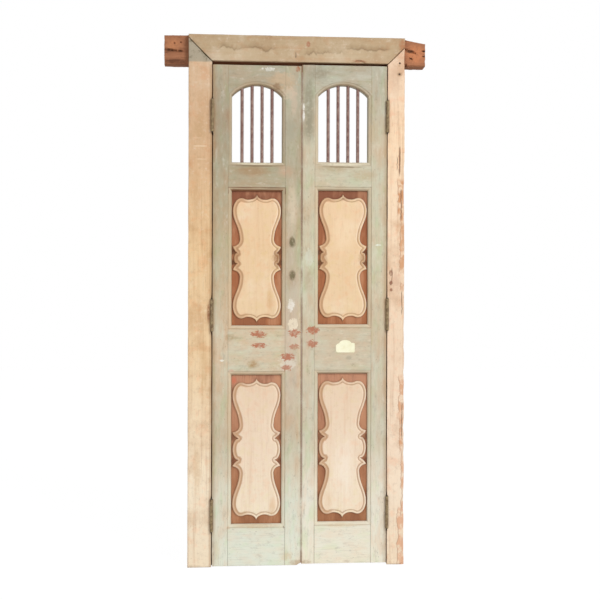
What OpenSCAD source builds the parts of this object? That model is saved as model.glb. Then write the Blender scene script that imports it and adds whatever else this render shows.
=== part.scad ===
// Antique double-leaf door in its own frame: a head with horns, two jambs, and two panelled leaves
// with arched, barred windows, hung on butt hinges so that they open towards the front.
// +X runs to the right seen from the front, +Y to the back, +Z up. The origin is on the floor,
// at the centre of the part's box.

/* [Frame] */
// Width of the left jamb's front face
left_jamb_w = 92; // [80:1:104]
// Width of the right jamb's front face
right_jamb_w = 68; // [60:1:104]
// Depth of the frame from front to back
frame_depth = 90; // [84:1:120]
// Height of the head's front face
head_face_h = 104; // [90:1:130]
// Height of the stop that hangs below the head's front face
head_stop_h = 22; // [18:1:40]
// Width of the stop behind the leaves on each jamb
jamb_stop_w = 20; // [12:1:30]
// Length of the left horn beyond its jamb
left_horn_l = 98; // [30:1:150]
// Length of the right horn beyond its jamb
right_horn_l = 88; // [30:1:150]
// Height of the horns, down from the head's top
horn_h = 116; // [90:1:125]
// Setback of the horns behind the frame's front face
horn_setback = 22; // [12:1:30]
// Open joint along each mitre, measured upright
mitre_gap = 3; // [0:0.5:5]
// Thickness of the jambs' tenons
jamb_tenon_t = 24; // [14:1:28]
// Height of the jambs' tenons
jamb_tenon_h = 80; // [50:1:90]
// Shoulder beside each jamb tenon
jamb_tenon_shoulder = 14; // [8:1:18]
// Diameter of the pegs that lock the tenons
peg_d = 10; // [6:1:14]
// Reach of the pegs in front of the tenons
peg_reach = 8; // [4:1:9]

/* [Leaf heights] */
// Height of the bottom rail
bottom_rail_h = 166; // [130:1:220]
// Height of the lower panel's opening
lower_panel_h = 594; // [520:1:680]
// Height of the lock rail
lock_rail_h = 198; // [150:1:240]
// Height of the upper panel's opening
upper_panel_h = 536; // [460:1:620]
// Height of the rail under the window
frieze_rail_h = 115; // [95:1:150]
// Height of the window from its sill to the spring of its arch
window_h = 264; // [200:1:320]
// Rise of the window's arch
arch_rise = 45; // [30:1:70]
// Height of the top rail over the crown of the arch
crown_h = 78; // [60:1:110]

/* [Leaf widths] */
// Thickness of the leaves
leaf_t = 36; // [34:1:44]
// Width of the panel and window openings
opening_w = 200; // [180:1:240]
// Width of the left leaf's hinge stile
left_hinge_stile_w = 76; // [66:1:100]
// Width of the left leaf's meeting stile
left_meeting_stile_w = 79; // [62:1:100]
// Width of the right leaf's hinge stile
right_hinge_stile_w = 76; // [66:1:100]
// Width of the right leaf's meeting stile
right_meeting_stile_w = 66; // [60:1:100]

/* [Gaps] */
// Gap between each leaf and its jamb
hinge_gap = 5; // [4:0.5:6]
// Gap between the two leaves at their faces
meeting_gap = 1; // [1:0.5:6]
// Amount that each meeting edge falls away towards its back, so that the leaves can swing past each other
meeting_slope = 3; // [3:0.5:6]
// Gap over the higher leaf
top_gap = 11; // [4:1:16]
// Gap under the left leaf, which has sagged
left_foot_gap = 4; // [2:1:15]
// Gap under the right leaf
right_foot_gap = 9; // [2:1:15]
// Gap between the leaves' backs and the stops
seat_gap = 1.5; // [1:0.5:4]

/* [Joinery] */
// Width of the moulding around each panel
moulding_w = 15; // [12:1:20]
// Width of the moulding around each window
window_moulding_w = 13; // [8:1:18]
// Depth of the mouldings at their openings
moulding_d = 11; // [6:1:12]
// Depth of the quirk at the mouldings' outer edges
quirk_d = 2; // [1:0.5:3]
// Length of the rails' tenons
tenon_l = 30; // [20:1:34]
// Thickness of the rails' tenons
tenon_t = 12; // [8:1:14]
// Shoulder above and below each tenon
tenon_shoulder = 8; // [4:1:12]
// Clearance around each tenon
tenon_fit = 0.3; // [0.1:0.1:0.5]

/* [Panels] */
// Thickness of the panel boards
panel_t = 12; // [9:1:14]
// Setback of the panels' ground behind the leaf's face
panel_setback = 15; // [14:1:17]
// Reach of the panels into their grooves
panel_tongue = 9; // [6:1:12]
// Depth of the grooves for the panels
groove_d = 10; // [10:1:14]
// Clearance on each face of the panels in their grooves
panel_fit = 0.4; // [0.2:0.1:0.8]
// Height of the carved field over the ground
field_h = 7.5; // [6:0.5:12]
// Height of the carved rim over the ground
rim_h = 7; // [5:0.5:8]
// Width of the carved rim
rim_w = 8; // [4:0.5:10]
// Width of the sunk line inside the rim
sunk_line_w = 4; // [2:0.5:5]
// Depth of the sunk line below the rim
sunk_line_d = 2.5; // [1:0.5:4]
// Gap between the carving and the sides of its opening
carving_side_gap = 3; // [2:0.5:12]
// Gap between the upper carving's points and the ends of its opening
upper_end_gap = 10; // [6:0.5:30]
// Gap between the lower carving's points and the ends of its opening
lower_end_gap = 12; // [6:0.5:30]
// Height of the carving's points over the dips beside them
carving_point_h = 23; // [12:1:30]
// Height of the carving's shoulders over those dips
carving_shoulder_h = 6; // [2:1:14]
// Distance from the carving's points down to its widest place
carving_wide_z = 68; // [52:1:80]
// Depth of the carving's waists
waist_in = 28; // [15:1:36]
// Height of the upper panel's waists over the panel's middle
upper_waist_z = 79; // [72:1:100]
// Height of the upper panel's barbs over the panel's middle
upper_barb_z = 47; // [40:1:58]
// Height of the upper panel's notches over the panel's middle
upper_notch_z = 21; // [16:1:30]
// Depth of the upper panel's notches from the carving's full width
upper_notch_in = 17; // [12:1:26]
// Setback of the upper panel's lobes from the carving's full width
upper_lobe_in = 5; // [0:0.5:10]
// Height of the lower panel's waists over the panel's middle
lower_waist_z = 98; // [92:1:125]
// Height of the lower panel's barbs over the panel's middle
lower_barb_z = 68; // [60:1:80]
// Height of the lower panel's notches over the panel's middle
lower_notch_z = 43; // [34:1:52]
// Depth of the lower panel's notches from the carving's full width
lower_notch_in = 23; // [12:1:28]
// Setback of the lower panel's lobes from the carving's full width
lower_lobe_in = 1; // [0:0.5:10]

/* [Window bars] */
// Number of bars in each window
bar_count = 4; // [2:1:5]
// Diameter of the bars
bar_d = 14; // [8:1:16]
// Depth of the bars' sockets
bar_socket = 14; // [8:1:24]
// Clearance around each bar in its sockets
bar_fit = 0.2; // [0.1:0.1:0.4]

/* [Hinges] */
// Length of the butt hinges
hinge_l = 127; // [90:1:150]
// Distance of the outer hinges' middles from the leaf's foot and top
hinge_inset = 203; // [150:1:300]
// Diameter of the knuckles
knuckle_d = 12; // [9:0.5:12]
// Diameter of the bore through the knuckles
hinge_bore_d = 6; // [4:0.5:7]
// Clearance around the pin in its bore
pin_fit = 0.05; // [0.02:0.01:0.1]
// Distance of the pin's axis in front of the leaf's face
pin_proud = 6; // [6:0.5:8]
// Thickness of the flanges
flange_t = 3.3; // [3:0.1:4]
// Reach of the flanges behind the leaf's face
flange_w = 29; // [22:1:32]
// Gap between the closed flanges, and between neighbouring knuckles
flange_gap = 0.4; // [0.3:0.1:0.6]
// Height of the pin's heads
pin_head_h = 3; // [1:0.5:5]
// Number of screws in each flange
screw_count = 3; // [2:1:5]
// Diameter of the screws
screw_d = 4.5; // [3:0.5:5.5]
// Length of the screws
screw_l = 24; // [14:1:32]

/* [Wear] */
// Drop of the right horn's worn top at its tip
horn_wear_h = 12; // [4:1:30]
// Width of the worn-off arris on the right jamb
arris_wear_w = 10; // [4:1:28]
// Depth of the worn-off arris on the right jamb
arris_wear_d = 6; // [3:1:18]
// Height of the worn-off arris over the floor
arris_wear_h = 1660; // [800:10:1900]
// Width of the chip in the head's lower edge
chip_w = 60; // [20:1:80]
// Height of the chip in the head's lower edge
chip_h = 13; // [4:1:20]
// Depth of the chip in the head's lower edge
chip_d = 5; // [3:1:10]
// Distance of the chip from the right jamb
chip_in = 118; // [60:1:160]
// Width of the left leaf's worn toe
toe_wear_w = 18; // [8:1:30]
// Height of the left leaf's worn toe
toe_wear_h = 10; // [4:1:20]
// Diameter of the prints left by a lost pull
print_d = 28; // [16:1:36]
// Length of the prints left by a lost pull
print_l = 46; // [38:1:60]
// Depth of the prints left by a lost pull
print_sunk = 1.5; // [1:0.5:3]
// Distance of the prints from the leaf's meeting edge
print_in = 38; // [30:1:40]
// Height of the lower print over the leaf's foot
print_z = 1164; // [1050:1:1250]
// Distance between the two prints
print_pitch = 120; // [100:1:160]

/* [Hidden] */
$fn = 48;
LEFT = 0;
RIGHT = 1;

SIDES = ["left", "right"];
LEVELS = ["low", "middle", "top"];
past = 1;

jamb_w = [left_jamb_w, right_jamb_w];
hinge_stile_w = [left_hinge_stile_w, right_hinge_stile_w];
meeting_stile_w = [left_meeting_stile_w, right_meeting_stile_w];
foot_gap = [left_foot_gap, right_foot_gap];

// Heights over the leaf's foot
lower_z = [bottom_rail_h, bottom_rail_h + lower_panel_h];
upper_z = [lower_z[1] + lock_rail_h, lower_z[1] + lock_rail_h + upper_panel_h];
sill_z = upper_z[1] + frieze_rail_h;
spring_z = sill_z + window_h;
leaf_h = spring_z + arch_rise + crown_h;
hinge_z = [hinge_inset, leaf_h / 2, leaf_h - hinge_inset];
arch_r = (pow(opening_w / 2, 2) + pow(arch_rise, 2)) / (2 * arch_rise);
arch_centre_z = spring_z + arch_rise - arch_r;

// Widths and places across the door
leaf_w = [for (side = [LEFT, RIGHT]) hinge_stile_w[side] + opening_w + meeting_stile_w[side]];
doorway_w = leaf_w[LEFT] + leaf_w[RIGHT] + 2 * hinge_gap + meeting_gap;
whole_w = left_horn_l + left_jamb_w + doorway_w + right_jamb_w + right_horn_l;
doorway_x = [left_horn_l + left_jamb_w - whole_w / 2, left_horn_l + left_jamb_w + doorway_w - whole_w / 2];
outer_x = [doorway_x[LEFT] - left_jamb_w, doorway_x[RIGHT] + right_jamb_w];
tip_x = [outer_x[LEFT] - left_horn_l, outer_x[RIGHT] + right_horn_l];

// Depths behind the front face, which lies so that the hinges and the frame share the box's middle
front_y = (pin_proud + knuckle_d / 2 - frame_depth) / 2;
rebate_d = leaf_t + seat_gap;
jamb_tenon_y = (rebate_d + frame_depth - jamb_tenon_t) / 2;
peg_y = jamb_tenon_y - peg_reach;
tenon_y = (leaf_t - tenon_t) / 2;

// Heights over the floor
head_z = max(foot_gap) + leaf_h + top_gap;
stop_z = head_z - head_stop_h;
head_top_z = head_z + head_face_h;
function mitre_rise(side) = min(jamb_w[side], head_face_h);

// Hinge sizes
flange_recess = flange_t + flange_gap / 2 - hinge_gap / 2;
pocket_fit = 0.3;
knuckle_count = 5;
knuckle_l = (hinge_l - (knuckle_count - 1) * flange_gap) / knuckle_count;
pin_r = hinge_bore_d / 2 - pin_fit;
pin_head_r = (hinge_bore_d + knuckle_d) / 4;
screw_head_d = 2 * screw_d;
screw_sink = flange_t * 0.8;
screw_fit = 0.1;
screw_stagger = 4;
screw_slot_w = 0.9;
screw_slot_d = 0.8;
peg_fit = 0.1;

// Details of the carving, and the steps of its curves and of the mouldings
sunk_h = rim_h - sunk_line_d;
rim_round = 3;
curve_steps = 7;
moulding_steps = 6;

// Places in the model

// The frame of one side: u = 0 on the pin's axis and grows towards the leaf, y = 0 on the front face
module on_side(side) {
    pin_x = doorway_x[side] + (side == LEFT ? hinge_gap / 2 : -hinge_gap / 2);
    translate([pin_x, front_y, 0])
        if (side == LEFT) children();
        else mirror([1, 0, 0]) children();
}

// The frame of one leaf: u = 0 on its hinge edge, z = 0 at its foot
module on_leaf(side) {
    on_side(side) translate([hinge_gap / 2, 0, foot_gap[side]]) children();
}

// A front view, in u and z, given the depths y0 to y1
module slab(y0, y1) {
    translate([0, y1, 0]) rotate([90, 0, 0]) linear_extrude(y1 - y0) children();
}

module block(low, high) {
    translate(low) cube(high - low);
}

// Mouldings

// Section of the pit around an opening from a to b: a quirk, then a quarter round down to the opening
function pit_curve(edge, outward, w) = [for (i = [0:moulding_steps])
    let (turn = 90 * i / moulding_steps)
    [edge + outward * w * (1 - sin(turn)), quirk_d + (moulding_d - quirk_d) * (1 - cos(turn))]];
function reversed(list) = [for (i = [len(list) - 1:-1:0]) list[i]];
function pit_section(a, b, w) = concat(
    [[a - w, -past]], pit_curve(a, -1, w), reversed(pit_curve(b, 1, w)), [[b + w, -past]]);

module pit_along_z(u0, u1, z0, z1, w) {
    translate([0, 0, z0]) linear_extrude(z1 - z0) polygon(pit_section(u0, u1, w));
}

module pit_along_u(z0, z1, u0, u1, w) {
    translate([u1, 0, 0]) rotate([0, -90, 0]) linear_extrude(u1 - u0) polygon(pit_section(z0, z1, w));
}

// Moulding around a square opening, mitred at its corners
module panel_pit(u0, u1, z) {
    reach = 2 * moulding_w;
    intersection() {
        pit_along_z(u0, u1, z[0] - reach, z[1] + reach, moulding_w);
        pit_along_u(z[0], z[1], u0 - reach, u1 + reach, moulding_w);
    }
}

// Moulding around the arched window
module window_pit(u0, u1) {
    w = window_moulding_w;
    reach = 2 * w;
    ring_r = arch_r + w;
    intersection() {
        pit_along_z(u0, u1, sill_z - reach, leaf_h + reach, w);
        pit_along_u(sill_z, leaf_h + 2 * arch_r, u0 - reach, u1 + reach, w);
        union() {
            translate([(u0 + u1) / 2, 0, arch_centre_z]) rotate([-90, 0, 0]) rotate_extrude()
                polygon(concat([[0, -past], [0, moulding_d]], reversed(pit_curve(arch_r, 1, w)),
                    [[ring_r, -past]]));
            block([(u0 + u1) / 2 - ring_r, -past, sill_z - reach],
                  [(u0 + u1) / 2 + ring_r, moulding_d, arch_centre_z]);
        }
    }
}

module leaf_pits(u0) {
    panel_pit(u0, u0 + opening_w, lower_z);
    panel_pit(u0, u0 + opening_w, upper_z);
    window_pit(u0, u0 + opening_w);
}

// Grooves that hold the panels' edges
module panel_grooves(u0) {
    for (z = [lower_z, upper_z])
        block([u0 - groove_d, panel_setback - panel_fit, z[0] - groove_d],
              [u0 + opening_w + groove_d, panel_setback + panel_t + panel_fit, z[1] + groove_d]);
}

// Stiles

// Front view of a stile, outer edge at u = 0: its moulded edge is cut back behind each rail
function stile_outline(w) = concat(
    [[0, 0], [w - moulding_w, 0]],
    [for (z = [lower_z, upper_z, [sill_z, spring_z]], point = [
        [w - moulding_w, z[0] - moulding_w], [w, z[0]], [w, z[1]], [w - moulding_w, z[1] + moulding_w]]) point],
    [[w - moulding_w, leaf_h], [0, leaf_h]]);

// Lowest and highest point of each rail's tenon, from the bottom rail up
tenon_z = [for (z = [[0, lower_z[0]], [lower_z[1], upper_z[0]], [upper_z[1], sill_z], [spring_z, leaf_h]])
    [z[0] + moulding_w + tenon_shoulder, z[1] - moulding_w - tenon_shoulder]];

module stile(w) {
    difference() {
        slab(0, leaf_t) polygon(stile_outline(w));
        leaf_pits(w);
        panel_grooves(w);
        for (z = tenon_z)
            block([w - moulding_w - tenon_l - past, tenon_y - tenon_fit, z[0] - tenon_fit],
                  [w, tenon_y + tenon_t + tenon_fit, z[1] + tenon_fit]);
    }
}

module hinge_stile(side) {
    color("darkseagreen") on_leaf(side) difference() {
        stile(hinge_stile_w[side]);
        translate([-hinge_gap / 2, 0, 0]) for (z = hinge_z) translate([0, 0, z]) hinge_seat();
    }
}

// Outline of the print that a pull's end left behind: a disc drawn out to a point
module print_outline() {
    circle(d = print_d);
    side = print_d / 2 * cos(30);
    polygon([[-side, print_d / 4], [0, print_l - print_d / 2], [side, print_d / 4]]);
}

module meeting_stile(side) {
    color("darkseagreen") on_leaf(side) translate([leaf_w[side], 0, 0]) mirror([1, 0, 0]) difference() {
        stile(meeting_stile_w[side]);
        translate([0, 0, -past]) linear_extrude(leaf_h + 2 * past)
            polygon([[-past, 0], [0, 0], [meeting_slope, leaf_t], [meeting_slope, leaf_t + past],
                     [-past, leaf_t + past]]);
        if (side == LEFT) {
            slab(-past, print_sunk) {
                translate([print_in, print_z]) mirror([0, 1]) print_outline();
                translate([print_in, print_z + print_pitch]) print_outline();
            }
            slab(-past, leaf_t + past)
                polygon([[-past, -past], [toe_wear_w, -past], [toe_wear_w, 0],
                    [0, toe_wear_h], [-past, toe_wear_h]]);
        }
    }
}

// Rails

// Front view of a rail over the opening: its ends are mitred where its edges are moulded
function rail_outline(u0, z0, z1, low_moulded, high_moulded) =
    let (u1 = u0 + opening_w, m = moulding_w)
    concat(
        low_moulded ? [[u0 - m, z0 + m], [u0, z0], [u1, z0], [u1 + m, z0 + m]] : [[u0 - m, z0], [u1 + m, z0]],
        high_moulded ? [[u1 + m, z1 - m], [u1, z1], [u0, z1], [u0 - m, z1 - m]] : [[u1 + m, z1], [u0 - m, z1]]);

module rail(side, z0, z1, low_moulded, high_moulded, tenon) {
    u0 = hinge_stile_w[side];
    shoulder = moulding_w;
    color("darkseagreen") on_leaf(side) difference() {
        union() {
            slab(0, leaf_t) polygon(rail_outline(u0, z0, z1, low_moulded, high_moulded));
            block([u0 - shoulder - tenon_l, tenon_y, tenon_z[tenon][0]],
                  [u0 + opening_w + shoulder + tenon_l, tenon_y + tenon_t, tenon_z[tenon][1]]);
        }
        leaf_pits(u0);
        panel_grooves(u0);
        window_cuts(u0);
    }
}

// Everything that the window and its bars take out of the rails
module window_cuts(u0) {
    intersection() {
        translate([u0 + opening_w / 2, -past, arch_centre_z]) rotate([-90, 0, 0])
            cylinder(r = arch_r, h = leaf_t + 2 * past);
        block([u0 - past, -2 * past, spring_z - past], [u0 + opening_w + past, leaf_t + 2 * past, leaf_h]);
    }
    for (i = [1:bar_count]) bar_rod(u0, i, bar_d / 2 + bar_fit, 0);
}

module bottom_rail(side) rail(side, 0, lower_z[0], false, true, 0);
module lock_rail(side) rail(side, lower_z[1], upper_z[0], true, true, 1);
module frieze_rail(side) rail(side, upper_z[1], sill_z, true, true, 2);
module top_rail(side) rail(side, spring_z, leaf_h, true, false, 3);

// Window bars

function bar_u(i) = opening_w * i / (bar_count + 1);
function arch_z(u) = arch_centre_z + sqrt(pow(arch_r, 2) - pow(u - opening_w / 2, 2));

module bar_rod(u0, i, r, short) {
    low = sill_z - bar_socket;
    high = arch_z(bar_u(i)) + bar_socket - short;
    translate([u0 + bar_u(i), leaf_t / 2, low]) cylinder(r = r, h = high - low);
}

module bar(side, i) {
    end_gap = 1;
    color("rosybrown") on_leaf(side) bar_rod(hinge_stile_w[side], i, bar_d / 2, end_gap);
}

// Carved panels

function bezier(p) = [for (i = [0:curve_steps - 1])
    let (t = i / curve_steps, s = 1 - t)
    s * s * s * p[0] + 3 * s * s * t * p[1] + 3 * s * t * t * p[2] + t * t * t * p[3]];

// A quarter of the carving's outline, from its point down to its middle: an ogee from the point to a dip,
// a round shoulder, a taper to the waist, a barb, a notch, and half of the lobe between the notches
function quarter_outline(half_w, half_h, waist_z, barb_z, notch_z, notch_in, lobe_in) =
    let (
        dip = [half_w * 0.36, half_h - carving_point_h],
        shoulder = [half_w * 0.64, dip[1] + carving_shoulder_h],
        wide = [half_w, half_h - carving_wide_z],
        waist = [half_w - waist_in, waist_z],
        barb = [half_w, barb_z],
        notch = [half_w - notch_in, notch_z],
        lobe = [half_w - lobe_in, 0],
        taper = wide[1] - waist[1],
        hook = waist[1] - barb[1],
        back = barb[1] - notch[1])
    concat(
        bezier([[0, half_h], [half_w * 0.03, half_h - carving_point_h * 0.6], dip - [half_w * 0.2, 0], dip]),
        bezier([dip, dip + [half_w * 0.14, 0], shoulder - [half_w * 0.14, 0], shoulder]),
        bezier([shoulder, shoulder + [half_w * 0.22, 0], wide + [0, carving_wide_z * 0.35], wide]),
        bezier([wide, wide - [0, taper * 0.37], waist + [waist_in * 0.1, taper * 0.45], waist]),
        bezier([waist, waist - [waist_in * 0.04, hook * 0.55], barb - [waist_in * 0.7, -hook * 0.13], barb]),
        bezier([barb, barb - [notch_in * 0.12, back * 0.35], notch + [notch_in * 0.5, back * 0.27], notch]),
        bezier([notch, notch + [notch_in * 0.5, 0], lobe + [0, notch_z * 0.6], lobe]));

// The whole outline, from its quarter mirrored both ways
function whole_outline(quarter, lobe) =
    let (
        right = concat(quarter, [lobe], reversed([for (p = quarter) [p[0], -p[1]]])),
        left = [for (i = [len(right) - 2:-1:1]) [-right[i][0], right[i][1]]])
    concat(right, left);

// The carving rises from the ground: a rounded rim, a sunk line, and the flat field
module carving(outline) {
    inner = rim_w + sunk_line_w;
    rotate([90, 0, 0]) {
        linear_extrude(sunk_h) polygon(outline);
        difference() {
            linear_extrude(rim_h - rim_round) polygon(outline);
            translate([0, 0, sunk_h]) linear_extrude(rim_h) offset(delta = -rim_w) polygon(outline);
        }
        difference() {
            linear_extrude(rim_h) offset(delta = -rim_round) polygon(outline);
            translate([0, 0, sunk_h]) linear_extrude(rim_h) offset(delta = -rim_w) polygon(outline);
        }
        linear_extrude(field_h) offset(delta = -inner) polygon(outline);
    }
}

module panel(side, z, end_gap, waist_z, barb_z, notch_z, notch_in, lobe_in) {
    u0 = hinge_stile_w[side];
    half_w = opening_w / 2 - carving_side_gap;
    half_h = (z[1] - z[0]) / 2 - end_gap;
    quarter = quarter_outline(half_w, half_h, waist_z, barb_z, notch_z, notch_in, lobe_in);
    color("burlywood") on_leaf(side) {
        block([u0 - panel_tongue, panel_setback, z[0] - panel_tongue],
              [u0 + opening_w + panel_tongue, panel_setback + panel_t, z[1] + panel_tongue]);
        translate([u0 + opening_w / 2, panel_setback, (z[0] + z[1]) / 2])
            carving(whole_outline(quarter, [half_w - lobe_in, 0]));
    }
}

module lower_panel(side)
    panel(side, lower_z, lower_end_gap, lower_waist_z, lower_barb_z,
          lower_notch_z, lower_notch_in, lower_lobe_in);
module upper_panel(side)
    panel(side, upper_z, upper_end_gap, upper_waist_z, upper_barb_z,
          upper_notch_z, upper_notch_in, upper_lobe_in);

// Hinges, in the frame of one side with z = 0 at the hinge's middle

// Pocket and screw holes that a hinge takes out of the leaf's edge
module hinge_seat() {
    block([0, -past, -hinge_l / 2 - pocket_fit],
          [flange_recess + hinge_gap / 2, flange_w + pocket_fit, hinge_l / 2 + pocket_fit]);
    each_screw() screw_body(screw_fit);
}

module each_screw() {
    for (i = [0:screw_count - 1])
        translate([0, flange_w / 2 + (i % 2 == 0 ? -screw_stagger : screw_stagger),
                   hinge_l * ((i + 0.5) / screw_count - 0.5)]) children();
}

// A countersunk screw along +u, its head flush with the flange's open face
module screw_body(fit) {
    translate([flange_gap / 2, 0, 0]) rotate([0, 90, 0]) {
        cylinder(r1 = screw_head_d / 2 + fit, r2 = screw_d / 2 + fit, h = screw_sink);
        cylinder(r = screw_d / 2 + fit, h = screw_l + fit);
    }
}

module screw() {
    difference() {
        screw_body(0);
        block([0, -screw_slot_w / 2, -screw_head_d],
              [flange_gap / 2 + screw_slot_d, screw_slot_w / 2, screw_head_d]);
    }
}

// One flange with the knuckles that start at first and take every second place
module flange(first) {
    root_y = knuckle_d / 2 + flange_gap - pin_proud;
    difference() {
        union() {
            block([flange_gap / 2, root_y, -hinge_l / 2], [flange_gap / 2 + flange_t, flange_w, hinge_l / 2]);
            for (i = [first:2:knuckle_count - 1]) {
                z = i * (knuckle_l + flange_gap) - hinge_l / 2;
                translate([0, -pin_proud, z]) cylinder(d = knuckle_d, h = knuckle_l);
                block([flange_gap / 2, -pin_proud, z],
                      [flange_gap / 2 + flange_t, root_y + past, z + knuckle_l]);
            }
        }
        translate([0, -pin_proud, -hinge_l]) cylinder(d = hinge_bore_d, h = 2 * hinge_l);
        each_screw() screw_body(screw_fit);
    }
}

module on_hinge(side, level) {
    on_side(side) translate([0, 0, foot_gap[side] + hinge_z[level]]) children();
}

module leaf_flange(side, level) {
    color("dimgray") on_hinge(side, level) flange(1);
}

module jamb_flange(side, level) {
    color("dimgray") on_hinge(side, level) mirror([1, 0, 0]) flange(0);
}

module hinge_pin(side, level) {
    color("gray") on_hinge(side, level) translate([0, -pin_proud, 0]) {
        cylinder(r = pin_r, h = hinge_l, center = true);
        for (end = [-1, 1]) translate([0, 0, end * (hinge_l + pin_head_h) / 2])
            cylinder(r = pin_head_r, h = pin_head_h, center = true);
    }
}

module leaf_hinge_screws(side) {
    color("slategray") for (level = [0:2]) on_hinge(side, level) each_screw() screw();
}

module jamb_hinge_screws() {
    color("slategray") for (side = [LEFT, RIGHT], level = [0:2])
        on_hinge(side, level) mirror([1, 0, 0]) each_screw() screw();
}

// Frame

// The jamb's tenon, which grows by fit for its mortise
module jamb_tenon(side, fit) {
    outer = -hinge_gap / 2 - jamb_w[side];
    block([outer + jamb_tenon_shoulder - fit, jamb_tenon_y - fit, stop_z - past],
          [-hinge_gap / 2 - jamb_tenon_shoulder + fit, jamb_tenon_y + jamb_tenon_t + fit,
           stop_z + jamb_tenon_h + fit]);
}

// Pegs from the frame's back through the mortise and its tenon
module jamb_pegs(side, fit) {
    for (share = [0.25, 0.75])
        translate([-hinge_gap / 2 - jamb_tenon_shoulder
                   - share * (jamb_w[side] - 2 * jamb_tenon_shoulder),
                   peg_y - fit, stop_z + jamb_tenon_h / 2])
            rotate([-90, 0, 0])
                cylinder(d = peg_d + 2 * fit, h = frame_depth - peg_y + (fit > 0 ? fit + past : 0));
}

module jamb(side) {
    inner = -hinge_gap / 2;
    outer = inner - jamb_w[side];
    color("burlywood") on_side(side) difference() {
        union() {
            linear_extrude(stop_z) polygon([[outer, 0], [inner, 0], [inner, rebate_d],
                [inner + jamb_stop_w, rebate_d], [inner + jamb_stop_w, frame_depth], [outer, frame_depth]]);
            slab(0, horn_setback) polygon([[outer, stop_z - past], [inner, stop_z - past],
                [inner, head_z - mitre_gap], [outer, head_z - mitre_gap + mitre_rise(side)]]);
            jamb_tenon(side, 0);
        }
        for (z = hinge_z) translate([0, 0, foot_gap[side] + z]) mirror([1, 0, 0]) hinge_seat();
        jamb_pegs(side, peg_fit);
        if (side == RIGHT) translate([0, 0, -past]) linear_extrude(arris_wear_h + past)
            polygon([[outer - past, -past], [outer + arris_wear_w, -past], [outer + arris_wear_w, 0],
                     [outer, arris_wear_d], [outer - past, arris_wear_d]]);
    }
}

module head() {
    color("tan") difference() {
        translate([0, front_y, 0]) difference() {
            union() {
                slab(0, horn_setback + past) polygon([[doorway_x[LEFT], head_z], [doorway_x[RIGHT], head_z],
                    [outer_x[RIGHT], head_z + mitre_rise(RIGHT)], [outer_x[RIGHT], head_top_z],
                    [outer_x[LEFT], head_top_z], [outer_x[LEFT], head_z + mitre_rise(LEFT)]]);
                block([tip_x[LEFT], horn_setback, stop_z], [tip_x[RIGHT], frame_depth, head_top_z]);
            }
            block([doorway_x[LEFT], -past, stop_z - past], [doorway_x[RIGHT], rebate_d, head_z]);
            chip_x = doorway_x[RIGHT] - chip_in;
            slab(-past, chip_d) polygon([[chip_x - chip_w / 2, head_z - past], [chip_x - chip_w / 2, head_z],
                [chip_x, head_z + chip_h], [chip_x + chip_w / 2, head_z],
                [chip_x + chip_w / 2, head_z - past]]);
            block([tip_x[LEFT] - past, -past, stop_z - past],
                  [outer_x[LEFT], frame_depth + past, head_top_z - horn_h]);
            block([outer_x[RIGHT], -past, stop_z - past],
                  [tip_x[RIGHT] + past, frame_depth + past, head_top_z - horn_h]);
            slab(-past, frame_depth + past) polygon([[outer_x[RIGHT], head_top_z],
                [tip_x[RIGHT], head_top_z - horn_wear_h], [tip_x[RIGHT] + past, head_top_z - horn_wear_h],
                [tip_x[RIGHT] + past, head_top_z + past], [outer_x[RIGHT], head_top_z + past]]);
        }
        for (side = [LEFT, RIGHT]) on_side(side) {
            jamb_tenon(side, tenon_fit);
            jamb_pegs(side, peg_fit);
        }
    }
}

module frame_pegs() {
    color("sienna") for (side = [LEFT, RIGHT]) on_side(side) jamb_pegs(side, 0);
}

// Every node by its name

head();
frame_pegs();
jamb_hinge_screws();
for (side = [LEFT, RIGHT]) {
    name = SIDES[side];
    jamb(side);
    hinge_stile(side);
    meeting_stile(side);
    bottom_rail(side);
    lock_rail(side);
    frieze_rail(side);
    top_rail(side);
    lower_panel(side);
    upper_panel(side);
    leaf_hinge_screws(side);
    for (i = [1:bar_count])
        bar(side, i);
    for (level = [0:2]) {
        jamb_flange(side, level);
        leaf_flange(side, level);
        hinge_pin(side, level);
    }
}
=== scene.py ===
import math
from collections import namedtuple

import bmesh
import bpy
import numpy as np
from mathutils import Matrix, Vector, noise
from mathutils.geometry import delaunay_2d_cdt


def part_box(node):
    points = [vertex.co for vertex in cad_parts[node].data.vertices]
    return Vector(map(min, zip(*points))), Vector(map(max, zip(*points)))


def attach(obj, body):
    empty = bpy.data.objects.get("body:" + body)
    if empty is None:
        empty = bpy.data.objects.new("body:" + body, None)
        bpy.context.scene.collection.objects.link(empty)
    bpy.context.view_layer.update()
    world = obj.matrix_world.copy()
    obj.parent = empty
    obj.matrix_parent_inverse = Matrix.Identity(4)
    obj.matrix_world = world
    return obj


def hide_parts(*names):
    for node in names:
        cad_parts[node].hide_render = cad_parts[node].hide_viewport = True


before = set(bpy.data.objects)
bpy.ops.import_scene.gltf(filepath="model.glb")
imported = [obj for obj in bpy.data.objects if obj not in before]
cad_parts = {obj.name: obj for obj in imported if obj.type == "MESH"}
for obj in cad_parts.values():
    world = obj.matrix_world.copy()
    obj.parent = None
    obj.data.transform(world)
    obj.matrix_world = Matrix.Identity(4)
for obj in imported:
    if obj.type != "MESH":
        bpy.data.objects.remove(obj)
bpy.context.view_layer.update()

# An old double door in its frame, weathered: every wooden member is worn from its CAD shape, and painted
# or bare as it is now. Sizes are in metres, with MM for millimetres.

MM = 0.001
SIDES = ("left", "right")
RAILS = ("bottom_rail", "lock_rail", "frieze_rail", "top_rail")
STILES = ("hinge_stile", "meeting_stile")

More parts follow.
